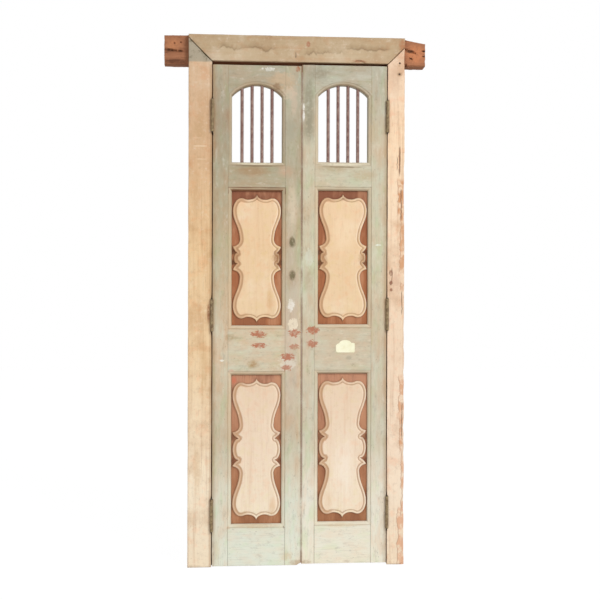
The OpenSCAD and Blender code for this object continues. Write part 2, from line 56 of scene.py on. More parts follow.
# Lines of the door, read from the CAD
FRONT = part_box("left_meeting_stile")[0].y
LEAF_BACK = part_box("left_meeting_stile")[1].y
FRAME_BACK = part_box("head")[1].y
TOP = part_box("head")[1].z
OUTER = (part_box("left_jamb")[0].x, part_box("right_jamb")[1].x)
HINGE_GAP = 5 * MM
DOORWAY = (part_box("left_hinge_stile")[0].x - HINGE_GAP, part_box("right_hinge_stile")[1].x + HINGE_GAP)
HINGE_HEIGHTS = [sum(corner.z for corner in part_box(f"left_{place}_leaf_flange")) / 2
                 for place in ("low", "middle", "top")]
# Where the rails' front faces start and end, between the stiles
SHOULDERS = {side: [end(v.co.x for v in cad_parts[side + "_bottom_rail"].data.vertices
                        if abs(v.co.y - FRONT) < 0.05 * MM) for end in (min, max)] for side in SIDES}
MEETING = (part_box("left_meeting_stile")[1].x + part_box("right_meeting_stile")[0].x) / 2
PANEL_MIDDLES = [sum(corner.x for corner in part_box(side + "_upper_panel")) / 2 for side in SIDES]

# Set in the CAD: setbacks from the front face, and the height of the moulding over the upper panels
HORN_SETBACK = 22 * MM
PANEL_SETBACK = 15 * MM
HORN_FACE = FRONT + HORN_SETBACK
PANEL_GROUND = FRONT + PANEL_SETBACK
UPPER_MOULDING = 1507 * MM
# The browner band on the left jamb's inner edge ends here, just under the head's front face
INNER_BROWNING_TOP = 2000 * MM


# Node recipes

def colour(code):
    """The linear colour of an sRGB code such as c2b79e."""
    parts = [int(code[i:i + 2], 16) / 255 for i in (0, 2, 4)]
    return tuple(p / 12.92 if p <= 0.04045 else ((p + 0.055) / 1.055) ** 2.4 for p in parts) + (1.0,)


class Recipe:
    """Adds nodes to one tree and hands back their outputs."""

    def __init__(self, tree):
        self.tree = tree

    def node(self, kind, inputs=None, **settings):
        made = self.tree.nodes.new(kind)
        for name, value in settings.items():
            setattr(made, name, value)
        for key, value in (inputs or {}).items():
            if isinstance(value, bpy.types.NodeSocket):
                self.tree.links.new(value, made.inputs[key])
            else:
                made.inputs[key].default_value = value
        return made

    def sum(self, operation, *values):
        return self.node("ShaderNodeMath", dict(enumerate(values)), operation=operation).outputs[0]

    def times(self, first, *others):
        """The product of these values."""
        for other in others:
            first = self.sum("MULTIPLY", first, other)
        return first

    def vector(self, operation, a, b):
        return self.node("ShaderNodeVectorMath", {0: a, 1: b}, operation=operation).outputs[0]

    def mix(self, share, under, over, blend="MIX"):
        inputs = {0: share, 6: under, 7: over}
        return self.node("ShaderNodeMix", inputs, data_type="RGBA", blend_type=blend).outputs[2]

    def stain(self, tone, code, *masks, blend="MIX"):
        """The tone with this colour on it, as strong as the product of the masks."""
        return self.mix(self.times(*masks), tone, colour(code), blend)

    def fade(self, value, none, full):
        """0 at none and 1 at full, smooth between them."""
        inputs = {"Value": value, "From Min": none, "From Max": full}
        return self.node("ShaderNodeMapRange", inputs, interpolation_type="SMOOTHSTEP").outputs[0]

    def span(self, value, start, end, soft):
        """1 between start and end, and soft towards both."""
        return self.times(self.fade(value, start, start + soft), self.fade(value, end, end - soft))

    def facing(self):
        """Which way the surface faces, as x, y and z."""
        return self.split(self.node("ShaderNodeNewGeometry").outputs["Normal"])

    def noise(self, position, scale, detail=4.0, roughness=0.6, distortion=0.0):
        inputs = {"Vector": position, "Scale": scale, "Detail": detail,
                  "Roughness": roughness, "Distortion": distortion}
        return self.node("ShaderNodeTexNoise", inputs).outputs[0]

    def ramp(self, value, stops):
        made = self.node("ShaderNodeValToRGB", {0: value})
        bars = made.color_ramp.elements
        while len(bars) < len(stops):
            bars.new(0.5)
        for bar, (place, code) in zip(bars, stops):
            bar.position = place
            bar.color = colour(code)
        return made.outputs[0]

    def group(self, tree, **inputs):
        return self.node("ShaderNodeGroup", inputs, node_tree=tree).outputs

    def split(self, position):
        return self.node("ShaderNodeSeparateXYZ", {0: position}).outputs


def node_group(name, inputs, outputs, build):
    tree = bpy.data.node_groups.new(name, "ShaderNodeTree")
    for label, kind in inputs.items():
        tree.interface.new_socket(label, in_out="INPUT", socket_type="NodeSocket" + kind)
    for label in outputs:
        tree.interface.new_socket(label, in_out="OUTPUT", socket_type="NodeSocketFloat")
    recipe = Recipe(tree)
    given = recipe.node("NodeGroupInput").outputs
    recipe.node("NodeGroupOutput", build(recipe, given))
    return tree


def grain_nodes(recipe, given):
    stretched = recipe.vector("MULTIPLY", given["Position"], given["Stretch"])
    return {"Streaks": recipe.noise(stretched, 1.0, detail=4, roughness=0.55, distortion=0.4),
            "Fibres": recipe.noise(stretched, 5.0, detail=5, roughness=0.7)}


def mark_nodes(recipe, given):
    offset = recipe.vector("SUBTRACT", given["Position"], given["Centre"])
    spread = recipe.vector("DIVIDE", offset, given["Radii"])
    far = recipe.node("ShaderNodeVectorMath", {0: spread}, operation="LENGTH").outputs["Value"]
    shifted = recipe.vector("MULTIPLY", given["Centre"], (37.0, 37.0, 37.0))
    place = recipe.vector("ADD", spread, shifted)
    wander = recipe.sum("SUBTRACT", recipe.noise(place, 2.2, detail=6, roughness=0.72), 0.5)
    reach = recipe.sum("MULTIPLY_ADD", wander, given["Ragged"], far)
    return {"Mask": recipe.fade(reach, 1.0, recipe.sum("SUBTRACT", 1.0, given["Soft"]))}


def edge_nodes(recipe, given):
    rounded = recipe.node("ShaderNodeBevel", {"Radius": given["Radius"]}, samples=4).outputs[0]
    flat = recipe.node("ShaderNodeNewGeometry").outputs["Normal"]
    turn = recipe.node("ShaderNodeVectorMath", {0: rounded, 1: flat},
                       operation="DOT_PRODUCT").outputs["Value"]
    # The ambient occlusion gives painted shade, with dirt, in hollows and creases within Reach
    sky = recipe.node("ShaderNodeAmbientOcclusion", {"Distance": given["Reach"]}, samples=6).outputs["AO"]
    return {"Edge": recipe.fade(turn, 0.97, 0.75), "Hollow Shade And Dirt": recipe.fade(sky, 0.8, 0.25)}


def blotch_nodes(recipe, given):
    """Old paint's uneven cast: broad clouds, warm and cool tints, scuffs and fly specks."""
    place = given["Position"]
    moved = recipe.vector("ADD", place, (3.1, 7.7, 1.9))
    fine = recipe.noise(place, 60.0, detail=6, roughness=0.72)
    tint = recipe.noise(moved, 24.0, detail=4, roughness=0.6)
    return {"Broad": recipe.noise(place, 26.0, detail=5, roughness=0.6),
            "Pink": recipe.fade(tint, 0.5, 0.68), "Green": recipe.fade(tint, 0.5, 0.32),
            "Dark": recipe.fade(fine, 0.52, 0.72), "Pale": recipe.fade(fine, 0.47, 0.28),
            "Specks": recipe.fade(recipe.noise(moved, 210.0, detail=2), 0.66, 0.74)}


def wandering_line(recipe, given, roughness):
    """Where the line at Place across lies, as it wanders along its way."""
    way = recipe.node("ShaderNodeCombineXYZ", {"X": recipe.times(given["Along"], given["Turns"]),
                                               "Y": given["Place"]}).outputs[0]
    bend = recipe.sum("SUBTRACT", recipe.noise(way, 1.0, detail=5, roughness=roughness), 0.5)
    return recipe.sum("MULTIPLY_ADD", bend, given["Wander"], given["Place"])


def crack_nodes(recipe, given):
    """A thin wandering line from Start to End, measured along it, at Place across it."""
    line = wandering_line(recipe, given, 0.65)
    off = recipe.sum("ABSOLUTE", recipe.sum("SUBTRACT", given["Across"], line))
    taper = 20 * MM
    begun = recipe.fade(given["Along"], given["Start"], recipe.sum("ADD", given["Start"], taper))
    ending = recipe.fade(given["Along"], given["End"], recipe.sum("SUBTRACT", given["End"], taper))
    thin = recipe.fade(off, given["Width"], recipe.times(given["Width"], 0.25))
    return {"Mask": recipe.times(thin, begun, ending)}


def ragged_nodes(recipe, given):
    """A wavy line at Place across, all that lies on its near side, and a soft band beyond it."""
    line = wandering_line(recipe, given, 0.62)
    near = recipe.sum("SUBTRACT", line, given["Across"])
    return {"Line": recipe.fade(recipe.sum("ABSOLUTE", near), given["Width"], 0.0),
            "Near": recipe.fade(near, 0.0, 1.5 * MM),
            "Beyond": recipe.times(recipe.fade(near, 1.5 * MM, 0.0),
                                   recipe.fade(near, recipe.times(given["Soft"], -1.0), 0.0))}


LINE_INPUTS = {"Along": "Float", "Across": "Float", "Place": "Float", "Wander": "Float", "Turns": "Float"}
CRACK = node_group("crack", dict(LINE_INPUTS, Start="Float", End="Float", Width="Float"),
                   ("Mask",), crack_nodes)
RAGGED = node_group("ragged line", dict(LINE_INPUTS, Width="Float", Soft="Float"),
                    ("Line", "Near", "Beyond"), ragged_nodes)
GRAIN = node_group("wood grain", {"Position": "Vector", "Stretch": "Vector"},
                   ("Streaks", "Fibres"), grain_nodes)
MARK = node_group("mark", {"Position": "Vector", "Centre": "Vector", "Radii": "Vector",
                           "Ragged": "Float", "Soft": "Float"}, ("Mask",), mark_nodes)
BLOTCH = node_group("blotches", {"Position": "Vector"},
                    ("Broad", "Pink", "Green", "Dark", "Pale", "Specks"), blotch_nodes)
EDGES = node_group("worn edges, hollow shade and dirt", {"Radius": "Float", "Reach": "Float"}, ("Edge", "Hollow Shade And Dirt"), edge_nodes)


# Marks on the front face, in millimetres: middle x and z, half width and half height, tone, strength,
# raggedness and softness of the border, and setback of the face that bears the mark

Mark = namedtuple("Mark", "x z half_w half_h tone share ragged soft back", defaults=(2.0, 0.4, 0))

RED_CHIP = "b66e50"
LEFT_LEAF_MARKS = [
    Mark(-19, 1790, 46, 300, "c3bca5", 0.6, 0.6, 0.7),
    Mark(-19, 984, 46, 620, "c8b3a2", 0.5, 0.6, 0.7),
    Mark(-14, 1440, 30, 150, "e0d0b6", 0.6, 0.9, 0.8),
    Mark(-20, 1744, 34, 74, "a5a08a", 0.6, 0.9, 0.8),
    Mark(-20, 1146, 32, 60, "b0967a", 0.45, 1.0, 0.8),
    Mark(6, 14, 34, 16, "b89c78", 0.6, 1.4, 0.6),
    Mark(-60, 1930, 66, 46, "c4a887", 0.75, 1.9, 0.5),
    Mark(-52, 1952, 44, 26, "cbb496", 0.65, 2.8, 0.25),
    Mark(-30, 1890, 30, 30, "d3bfa6", 0.65, 2.8, 0.3),
    Mark(-78, 1915, 20, 16, "8c6b4c", 0.6, 2.6, 0.3),
    Mark(-8, 1860, 16, 70, "cdb79f", 0.6, 1.6, 0.5),
    Mark(-175, 1579, 95, 26, "a98a64", 0.7, 1.0, 0.7),
    Mark(-43, 1576, 40, 34, "cfa98c", 0.5, 1.0, 0.8),
    Mark(-105, 1985, 20, 8, "ebe8de", 0.9, 2.8, 0.2),
    Mark(-135, 1987, 5, 5, "e6e4da", 0.8),
    Mark(7, 1988, 11, 14, "a8653f", 0.9),
    Mark(-262, 914, 26, 18, "a3875f", 0.6, 1.0, 0.7),
    Mark(-170, 807, 34, 24, "ad8656", 0.8, 0.8, 0.9),
    Mark(-15, 1296, 15, 26, "746b4e", 0.95, 0.5, 0.5),
    Mark(-14, 1162, 15, 25, "7a6f52", 0.95, 0.5, 0.5),
    Mark(-156, 161, 112, 11, "d6bb97", 0.6, 0.6, 0.5, 6),
    Mark(-257, 781, 17, 9, "d8a288", 0.55, 1.6, 0.6),
    Mark(-268, 156, 11, 9, "dcbc98", 0.5, 1.4, 0.6),
    Mark(-47, 156, 4, 8, "7a5f42", 0.7, 1.0, 0.6),
    Mark(-34, 40, 34, 26, "dcc9a4", 0.6, 1.4, 0.7),
    Mark(-312, 70, 14, 80, "d6c69e", 0.45, 1.2, 0.8),
    Mark(-19, 1044, 15, 26, "f1ece2", 0.75, 3.2, 0.2),
    Mark(-11, 966, 21, 27, "eddfc6", 0.85, 1.1, 0.15),
    Mark(-36, 812, 36, 34, "e9e2d4", 0.5, 3.2, 0.3),
    Mark(-8, 905, 28, 34, "dcc7b2", 0.5, 2.6, 0.4),
    Mark(-148, 928, 32, 15, RED_CHIP, 0.9, 3.0, 0.25),
    Mark(-145, 882, 31, 11, RED_CHIP, 0.9, 3.0, 0.25),
    Mark(-5, 931, 24, 16, RED_CHIP, 0.9, 3.0, 0.25),
    Mark(-6, 877, 22, 12, RED_CHIP, 0.7, 3.0, 0.25),
    Mark(-34, 836, 29, 16, RED_CHIP, 0.9, 3.0, 0.25),
    Mark(-37, 793, 22, 13, RED_CHIP, 0.8, 3.0, 0.25),
    Mark(-294, 822, 9, 5, "f0eee2", 0.8),
    # Painted highlight on the window sill's bead, and a painted shadow line under it
    Mark(-156, 1607, 112, 6, "e2d6ba", 0.9, 0.3, 0.4, 6),
    Mark(-156, 1598, 116, 3, "7a6649", 0.9, 0.5, 0.6, 2),
]
RIGHT_LEAF_MARKS = [
    Mark(50, 1855, 36, 180, "958d76", 0.75, 0.7, 0.8),
    Mark(50, 1755, 32, 90, "9a937c", 0.75, 0.8, 0.8),
    Mark(50, 1146, 32, 70, "bba98b", 0.6, 1.0, 0.8),
    Mark(95, 1972, 60, 40, "978d76", 0.7, 0.8, 0.8),
    Mark(312, 1740, 26, 60, "c4b08c", 0.5, 1.8, 0.5),
    Mark(44, 14, 26, 14, "bda480", 0.55, 1.4, 0.6),
    Mark(150, 1590, 90, 24, "b49a76", 0.5, 1.2, 0.8),
    Mark(270, 1566, 80, 36, "bfa27a", 0.5, 1.0, 0.8),
    Mark(263, 1962, 70, 20, "cfcfc0", 0.45, 1.6, 0.8),
    Mark(30, 1836, 5, 17, "f5f2e8", 0.95),
    Mark(30, 1800, 6, 22, "f5f2e8", 0.95),
    Mark(333, 1286, 14, 5, "eaeee2", 0.8, 1.4),
    Mark(52, 1232, 18, 40, "d9dccb", 0.5, 2.4, 0.3),
    Mark(66, 916, 28, 44, "d3b7a2", 0.5, 2.6, 0.4),
    Mark(69, 944, 27, 17, RED_CHIP, 0.9, 3.0, 0.25),
    Mark(66, 888, 22, 16, RED_CHIP, 0.8, 3.0, 0.25),
    Mark(214, 833, 15, 11, "a39a85", 0.45, 1.6, 0.6),
    Mark(190, 161, 112, 11, "e0caa8", 0.55, 0.6, 0.5, 6),
    # Painted highlight on the window sill's bead, and a painted shadow line under it
    Mark(190, 1607, 112, 6, "e6dcc3", 0.9, 0.3, 0.4, 6),
    Mark(190, 1598, 116, 3, "806d51", 0.9, 0.5, 0.6, 2),
]
LEFT_JAMB_MARKS = [
    Mark(-393, 1707, 22, 3, "ecd2b0", 0.7, 0.6),
    Mark(-383, 1675, 34, 4, "ecd2b0", 0.7, 0.6),
    Mark(-377, 1623, 26, 3, "ecd2b0", 0.6, 0.6),
    Mark(-347, 1010, 10, 50, "985f3c", 0.8, 0.8, 0.7),
    Mark(-372, 1850, 34, 90, "cda47c", 0.5, 1.4, 0.8),
    Mark(-384, 1744, 44, 80, "c29c70", 0.5, 1.2, 0.8),
    Mark(-398, 1480, 22, 160, "cfa577", 0.45, 1.4, 0.8),
    Mark(-366, 800, 24, 190, "d8b283", 0.45, 1.4, 0.8),
    Mark(-392, 380, 22, 160, "dfbd92", 0.4, 1.4, 0.8),
]
RIGHT_JAMB_MARKS = [
    Mark(400, 1950, 36, 80, "dab99b", 0.6, 1.0, 0.8),
    Mark(404, 1140, 36, 60, "d5ae92", 0.6, 1.2, 0.8),
    Mark(417, 1974, 13, 12, "9a7a58", 0.8, 0.6, 0.8),
    Mark(417, 2012, 7, 12, "a88a68", 0.6, 0.6, 0.8),
    Mark(419, 1627, 4, 62, "83563a", 0.8, 2.2, 0.3),
    Mark(384, 1174, 9, 15, "85513a", 0.85, 1.3, 0.4),
    Mark(384, 1134, 8, 11, "85513a", 0.85, 1.3, 0.4),
    Mark(385, 1106, 7, 8, "8f5a42", 0.8, 1.3, 0.4),
]
PANEL_MARKS = [
    # Browner tint with painted shade on the upper carvings beside their notches
    Mark(-238, 1232, 22, 48, "a3734a", 0.65, 1.0, 0.8, 10),
    Mark(-74, 1228, 28, 50, "9d6d44", 0.75, 1.2, 0.8, 10),
    Mark(108, 1230, 24, 46, "a3734a", 0.65, 1.0, 0.8, 10),
    Mark(270, 1228, 22, 46, "a6784e", 0.6, 1.0, 0.8, 10),
    Mark(-104, 1062, 15, 74, "d3a06c", 0.5, 0.9, 0.9, 9),
    # Painted shadow on the ground under the top edge of each upper panel
    Mark(-156, 1474, 90, 16, "7a4c38", 0.5, 0.8, 0.8, 15),
    Mark(190, 1474, 90, 16, "7a4c38", 0.4, 0.8, 0.8, 15),
    # Browner tint with painted shade on the lower carvings beside their notches
    Mark(-240, 520, 15, 32, "b5855c", 0.4, 1.0, 0.9, 10),
    Mark(-72, 520, 15, 32, "b5855c", 0.4, 1.0, 0.9, 10),
    Mark(107, 520, 16, 34, "bb8e68", 0.4, 1.0, 0.9, 10),
    Mark(274, 520, 14, 32, "bb8e68", 0.4, 1.0, 0.9, 10),
    Mark(-92, 230, 20, 54, "d9b07e", 0.4, 1.2, 0.9, 9),
    Mark(132, 260, 26, 60, "e2b98f", 0.4, 1.2, 0.9, 9),
    Mark(196, 380, 58, 190, "fff3e2", 0.55, 0.8, 0.9, 8),
    Mark(190, 1330, 60, 120, "fbe3c2", 0.5, 0.8, 0.9, 8),
]
# Painted shade in the hollows beside the carvings' notches, and a corner still red
GROUND_MARKS = [Mark(x, z, 17, 17, "54301f", 0.85, 0.7, 0.7, 15)
                for middle in (-156, 190) for x in (middle - 94, middle + 94) for z in (1256, 1214)]
GROUND_MARKS += [Mark(x, z, 15, 19, "6b3f2b", 0.7, 0.7, 0.7, 15)
                 for middle in (-156, 190) for x in (middle - 94, middle + 94) for z in (514, 420)]
GROUND_MARKS += [Mark(-246, 742, 16, 20, "cf7256", 0.7, 1.0, 0.7, 15)]
HEAD_MARKS = [
    Mark(48, 2088, 10, 14, "ab6848", 0.7, 1.2, 0.4),
    Mark(-2, 2044, 3, 16, "57483a", 0.8, 0.6, 0.4),
    Mark(254, 2022, 34, 9, "a8694a", 0.7, 1.2, 0.4),
    Mark(430, 2090, 20, 32, "b87852", 0.75, 1.8, 0.7),
    Mark(488, 2062, 56, 56, "cc8459", 0.85, 0.7, 0.7, 22),
    Mark(-490, 2080, 46, 36, "c4845a", 0.8, 0.9, 0.8, 22),
    # Painted shade along the left horn's waney lower edge
    Mark(-480, 2016, 60, 12, "5d3826", 0.7, 0.6, 0.6, 26),
]

# Cracks and holes in the horns' faces, in millimetres: from x and z to x and z, half width and depth
HORN_CRACKS = ((-528, 2062, -481, 2057, 6, 9), (-470, 2056, -456, 2057, 5, 8), (-487, 2087, -485, 2087, 4, 6),
               (-462, 2091, -460, 2091, 4, 4), (443, 2079, 484, 2066, 5, 7), (461, 2047, 473, 2039, 3, 5),
               (445, 2012, 446, 2004, 7, 9), (512, 2075, 530, 2075, 3, 8), (514, 2054, 530, 2054, 3, 6))
HEAD_MARKS += [Mark((a + b) / 2, (c + d) / 2, abs(b - a) / 2 + 3, wide + abs(d - c) / 3,
                    "3f2619", 0.85, 0.9, 0.7, 26)
               for a, c, b, d, wide, deep in HORN_CRACKS]

# Scale of the grain along x, y and z: long along a member and fine across it
UPRIGHT = (62.0, 62.0, 2.4)
LEVEL = (2.4, 62.0, 62.0)


def new_finish(name):
    material = bpy.data.materials.new(name)
    material.use_nodes = True
    material.node_tree.nodes.clear()
    recipe = Recipe(material.node_tree)
    return material, recipe, recipe.node("ShaderNodeTexCoord").outputs["Object"]


def close_finish(recipe, tone, roughness, relief, depth, gloss=0.25):
    bump = recipe.node("ShaderNodeBump", {"Height": relief, "Distance": depth}).outputs[0]
    surface = recipe.node("ShaderNodeBsdfPrincipled", {
        "Base Color": tone, "Roughness": roughness, "Normal": bump, "Specular IOR Level": gloss}).outputs[0]
    recipe.node("ShaderNodeOutputMaterial", {"Surface": surface})


def put_marks(recipe, position, tone, marks, grit):
    """Lays the marks on the tone, broken up by the grit."""
    whole = recipe.sum("MULTIPLY_ADD", recipe.fade(grit, 0.36, 0.52), 0.55, 0.45)
    for mark in marks:
        reach = 8 + mark.back
        mask = recipe.group(MARK, Position=position,
                            Centre=(mark.x * MM, FRONT + mark.back * MM, mark.z * MM),
                            Radii=(mark.half_w * MM, reach * MM, mark.half_h * MM),
                            Ragged=mark.ragged, Soft=mark.soft)["Mask"]
        tone = recipe.stain(tone, mark.tone, mask, mark.share, whole)
    return tone


def leaf_paint(name, stretch, sage_stops, tan_stops, marks, shoulders=()):
    """Thin sage paint over a tan ground coat, worn through along the grain, with dirt in the joints."""
    material, recipe, position = new_finish(name)
    x, y, z = recipe.split(position)
    height = recipe.sum("DIVIDE", z, TOP)
    sage = recipe.ramp(height, sage_stops)
    tan = recipe.ramp(height, tan_stops)
    grain = recipe.group(GRAIN, Position=position, Stretch=stretch)
    cloud = recipe.noise(position, 6.0, detail=6, roughness=0.62)
    drawn = recipe.vector("MULTIPLY", position, (0.5, 1.0, 1.0) if stretch is LEVEL else (1.0, 1.0, 0.35))
    blotch = recipe.group(BLOTCH, Position=drawn)
    uneven = recipe.sum("MULTIPLY_ADD", blotch["Broad"], 0.6, cloud)
    thin = recipe.sum("MULTIPLY_ADD", grain["Streaks"], 0.4, uneven)
    bare = recipe.fade(thin, 0.76, 1.26)
    tone = recipe.mix(recipe.times(bare, 0.85), sage, tan)
    cast = 0.45 if stretch is LEVEL else 0.75
    tone = recipe.stain(tone, "fceee6", blotch["Pink"], cast, blend="MULTIPLY")
    tone = recipe.stain(tone, "f0fcec", blotch["Green"], cast, blend="MULTIPLY")
    tone = recipe.stain(tone, "7d6f58", blotch["Dark"], 0.28)
    tone = recipe.stain(tone, "eee7d7", blotch["Pale"], 0.3)
    tone = recipe.stain(tone, "8d8068", recipe.fade(grain["Fibres"], 0.5, 0.72), 0.25)
    tone = recipe.stain(tone, "5f4b38", blotch["Specks"], 0.4)
    sunk = recipe.times(recipe.fade(y, FRONT + 1.2 * MM, FRONT + 2.4 * MM),
                        recipe.fade(y, FRONT + 16 * MM, FRONT + 12 * MM))
    tone = recipe.mix(recipe.times(sunk, cloud, 0.9), tone, recipe.stain(tan, "ecd9b8", 0.25))
    # Painted shade on the mouldings' downward faces and a painted highlight on their upward faces; over the
    # left upper panel the shade is deeper and browner, where paint is also lost
    facing = recipe.facing()["Z"]
    shaded = recipe.times(sunk, recipe.fade(facing, -0.15, -0.6))
    tone = recipe.stain(tone, "8a6d4c", shaded, 0.55)
    off_moulding = recipe.sum("ABSOLUTE", recipe.sum("SUBTRACT", z, UPPER_MOULDING))
    over_panel = recipe.times(recipe.sum("LESS_THAN", x, MEETING),
                              recipe.fade(off_moulding, 24 * MM, 16 * MM))
    tone = recipe.stain(tone, "774b30", shaded, over_panel, 0.9)
    lit = recipe.times(sunk, recipe.fade(facing, 0.15, 0.6))
    tone = recipe.stain(tone, "e8dec6", lit, 0.35)
    # Painted shade: a dark line in the mouldings' quirk, darker over the left upper panel
    quirk = recipe.times(recipe.fade(y, FRONT + 0.9 * MM, FRONT + 1.3 * MM),
                         recipe.fade(y, FRONT + 2.7 * MM, FRONT + 2.2 * MM))
    tone = recipe.stain(tone, "7d6a4e", quirk, blotch["Broad"], 0.5)
    tone = recipe.stain(tone, "774b30", quirk, over_panel, 0.8)
    tone = put_marks(recipe, position, tone, marks, recipe.noise(position, 70.0, detail=5, roughness=0.7))
    # Brown line along the meeting edges: dirt, and painted shade of the gap between the leaves, which is
    # drawn almost shut
    meeting = recipe.sum("ABSOLUTE", recipe.sum("SUBTRACT", x, MEETING))
    near_gap = recipe.times(recipe.fade(meeting, 6 * MM, 2 * MM), recipe.fade(cloud, 0.3, 0.55))
    tone = recipe.stain(tone, "7b5338", near_gap, 0.75)
    # Browner towards the hinge edges
    for edge, into in zip(DOORWAY, (1, -1)):
        near_gap = recipe.times(recipe.fade(x, edge + into * 24 * MM, edge + into * 7 * MM),
                             recipe.fade(cloud, 0.25, 0.55))
        tone = recipe.stain(tone, "a8845c", near_gap, 0.5)
    foot = recipe.sum("MULTIPLY_ADD", recipe.fade(z, 220 * MM, 180 * MM), 0.2, 0.3)
    for shoulder, into in zip(shoulders, (1, -1)):
        joint = recipe.fade(x, shoulder + into * 3.6 * MM, shoulder + into * 1.0 * MM)
        tone = recipe.stain(tone, "6b5a42", joint, foot)
    edges = recipe.group(EDGES, Radius=2.5 * MM, Reach=14 * MM)
    worn = recipe.times(edges["Edge"], recipe.fade(cloud, 0.42, 0.6))
    tone = recipe.stain(tone, "c79b74", worn, 0.55)
    # Painted shade, with dirt, in the hollows and creases
    tone = recipe.stain(tone, "7a5538", edges["Hollow Shade And Dirt"], 0.5)
    relief = recipe.sum("MULTIPLY_ADD", bare, -0.5, grain["Fibres"])
    close_finish(recipe, tone, 0.72, relief, 0.5 * MM)
    return material


def bare_frame(name, stretch, stops, marks, tides=(), strips=(), cracks=(), crown=0.0):
    """The frame's wood, its paint long gone: grain, stains, and raw sides that stood in the wall."""
    material, recipe, position = new_finish(name)
    x, y, z = recipe.split(position)
    tone = recipe.ramp(recipe.sum("DIVIDE", z, TOP), stops)
    grain = recipe.group(GRAIN, Position=position, Stretch=stretch)
    cloud = recipe.noise(position, 5.0, detail=6, roughness=0.6)
    tone = recipe.stain(tone, "c9a179", recipe.fade(cloud, 0.5, 0.7), 0.5, blend="MULTIPLY")
    tone = recipe.stain(tone, "f6e9d4", recipe.fade(cloud, 0.48, 0.3), 0.35)
    tone = recipe.stain(tone, "b98558", recipe.fade(grain["Streaks"], 0.5, 0.72), 0.32)
    tone = recipe.stain(tone, "8f6844", recipe.fade(grain["Fibres"], 0.52, 0.75), 0.3)
    blotch = recipe.group(BLOTCH, Position=position)
    tone = recipe.stain(tone, "fff1ea", blotch["Pink"], 0.8, blend="MULTIPLY")
    tone = recipe.stain(tone, "9a7450", blotch["Dark"], 0.2)
    tone = recipe.stain(tone, "f7ecd9", blotch["Pale"], 0.25)
    tone = recipe.stain(tone, "6b4a30", blotch["Specks"], 0.35)
    for place, wander, turns, start, end in tides:
        mask = recipe.group(RAGGED, Along=x, Across=z, Place=place * MM, Wander=wander * MM, Turns=turns,
                            Width=7 * MM, Soft=26 * MM)
        span = recipe.span(x, start * MM, end * MM, 40 * MM)
        shade = recipe.times(mask["Beyond"], span, recipe.fade(cloud, 0.3, 0.5))
        tone = recipe.stain(tone, "927a58", shade, 0.4)
        tone = recipe.stain(tone, "dac6a6", mask["Near"], span, 0.25)
        rim = recipe.times(mask["Line"], span, recipe.fade(cloud, 0.34, 0.56))
        tone = recipe.stain(tone, "7f6446", rim, 0.42)
    for place, start, end, code in strips:
        mask = recipe.group(RAGGED, Along=z, Across=recipe.times(x, -1.0), Place=-place * MM, Wander=34 * MM,
                            Turns=17.0, Width=2.5 * MM, Soft=10 * MM)
        span = recipe.span(z, start * MM, end * MM, 25 * MM)
        patchy = recipe.times(span, recipe.fade(blotch["Broad"], 0.6, 0.44))
        tone = recipe.stain(tone, code, mask["Near"], patchy)
        tone = recipe.stain(tone, "a0643f", mask["Line"], span, 0.6)
    for place, start, end, width in cracks:
        mask = recipe.group(CRACK, Along=z, Across=x, Place=place * MM, Wander=14 * MM, Turns=26.0,
                            Start=start * MM, End=end * MM, Width=width * MM)
        tone = recipe.stain(tone, "6b4129", mask["Mask"], 0.8)
    if crown:
        flaked = recipe.times(recipe.fade(z, crown - 3 * MM, crown + 4 * MM), recipe.fade(cloud, 0.62, 0.5))
        tone = recipe.stain(tone, "a8a08c", flaked, 0.85)
        tone = recipe.stain(tone, "877c66", flaked, recipe.fade(blotch["Broad"], 0.5, 0.62))
        tone = recipe.stain(tone, "4d4436", flaked, blotch["Specks"])
    # Browner along the left jamb's inner edge, below the head
    left_side = recipe.sum("LESS_THAN", x, 0.0)
    below_head = recipe.sum("LESS_THAN", z, INNER_BROWNING_TOP)
    inner = recipe.fade(x, DOORWAY[0] - 11 * MM, DOORWAY[0] - 2 * MM)
    tone = recipe.stain(tone, "a0764e", inner, below_head, left_side, 0.45)
    raw = recipe.fade(y, FRONT + 16 * MM, FRONT + 22 * MM)
    red = recipe.stain(colour("c18661"), "7d4a31", grain["Streaks"])
    red = recipe.stain(red, "5a3423", recipe.fade(grain["Fibres"], 0.55, 0.7))
    tone = recipe.mix(raw, tone, red)
    tone = put_marks(recipe, position, tone, marks, recipe.noise(position, 70.0, detail=5, roughness=0.7))
    edges = recipe.group(EDGES, Radius=4 * MM, Reach=20 * MM)
    worn = recipe.times(edges["Edge"], recipe.fade(cloud, 0.45, 0.62))
    tone = recipe.stain(tone, "b67f58", worn, 0.6)
    # Painted shade, with dirt, in the hollows and creases
    tone = recipe.stain(tone, "6b4730", edges["Hollow Shade And Dirt"], 0.45)
    close_finish(recipe, tone, 0.7, grain["Fibres"], 0.7 * MM)
    return material


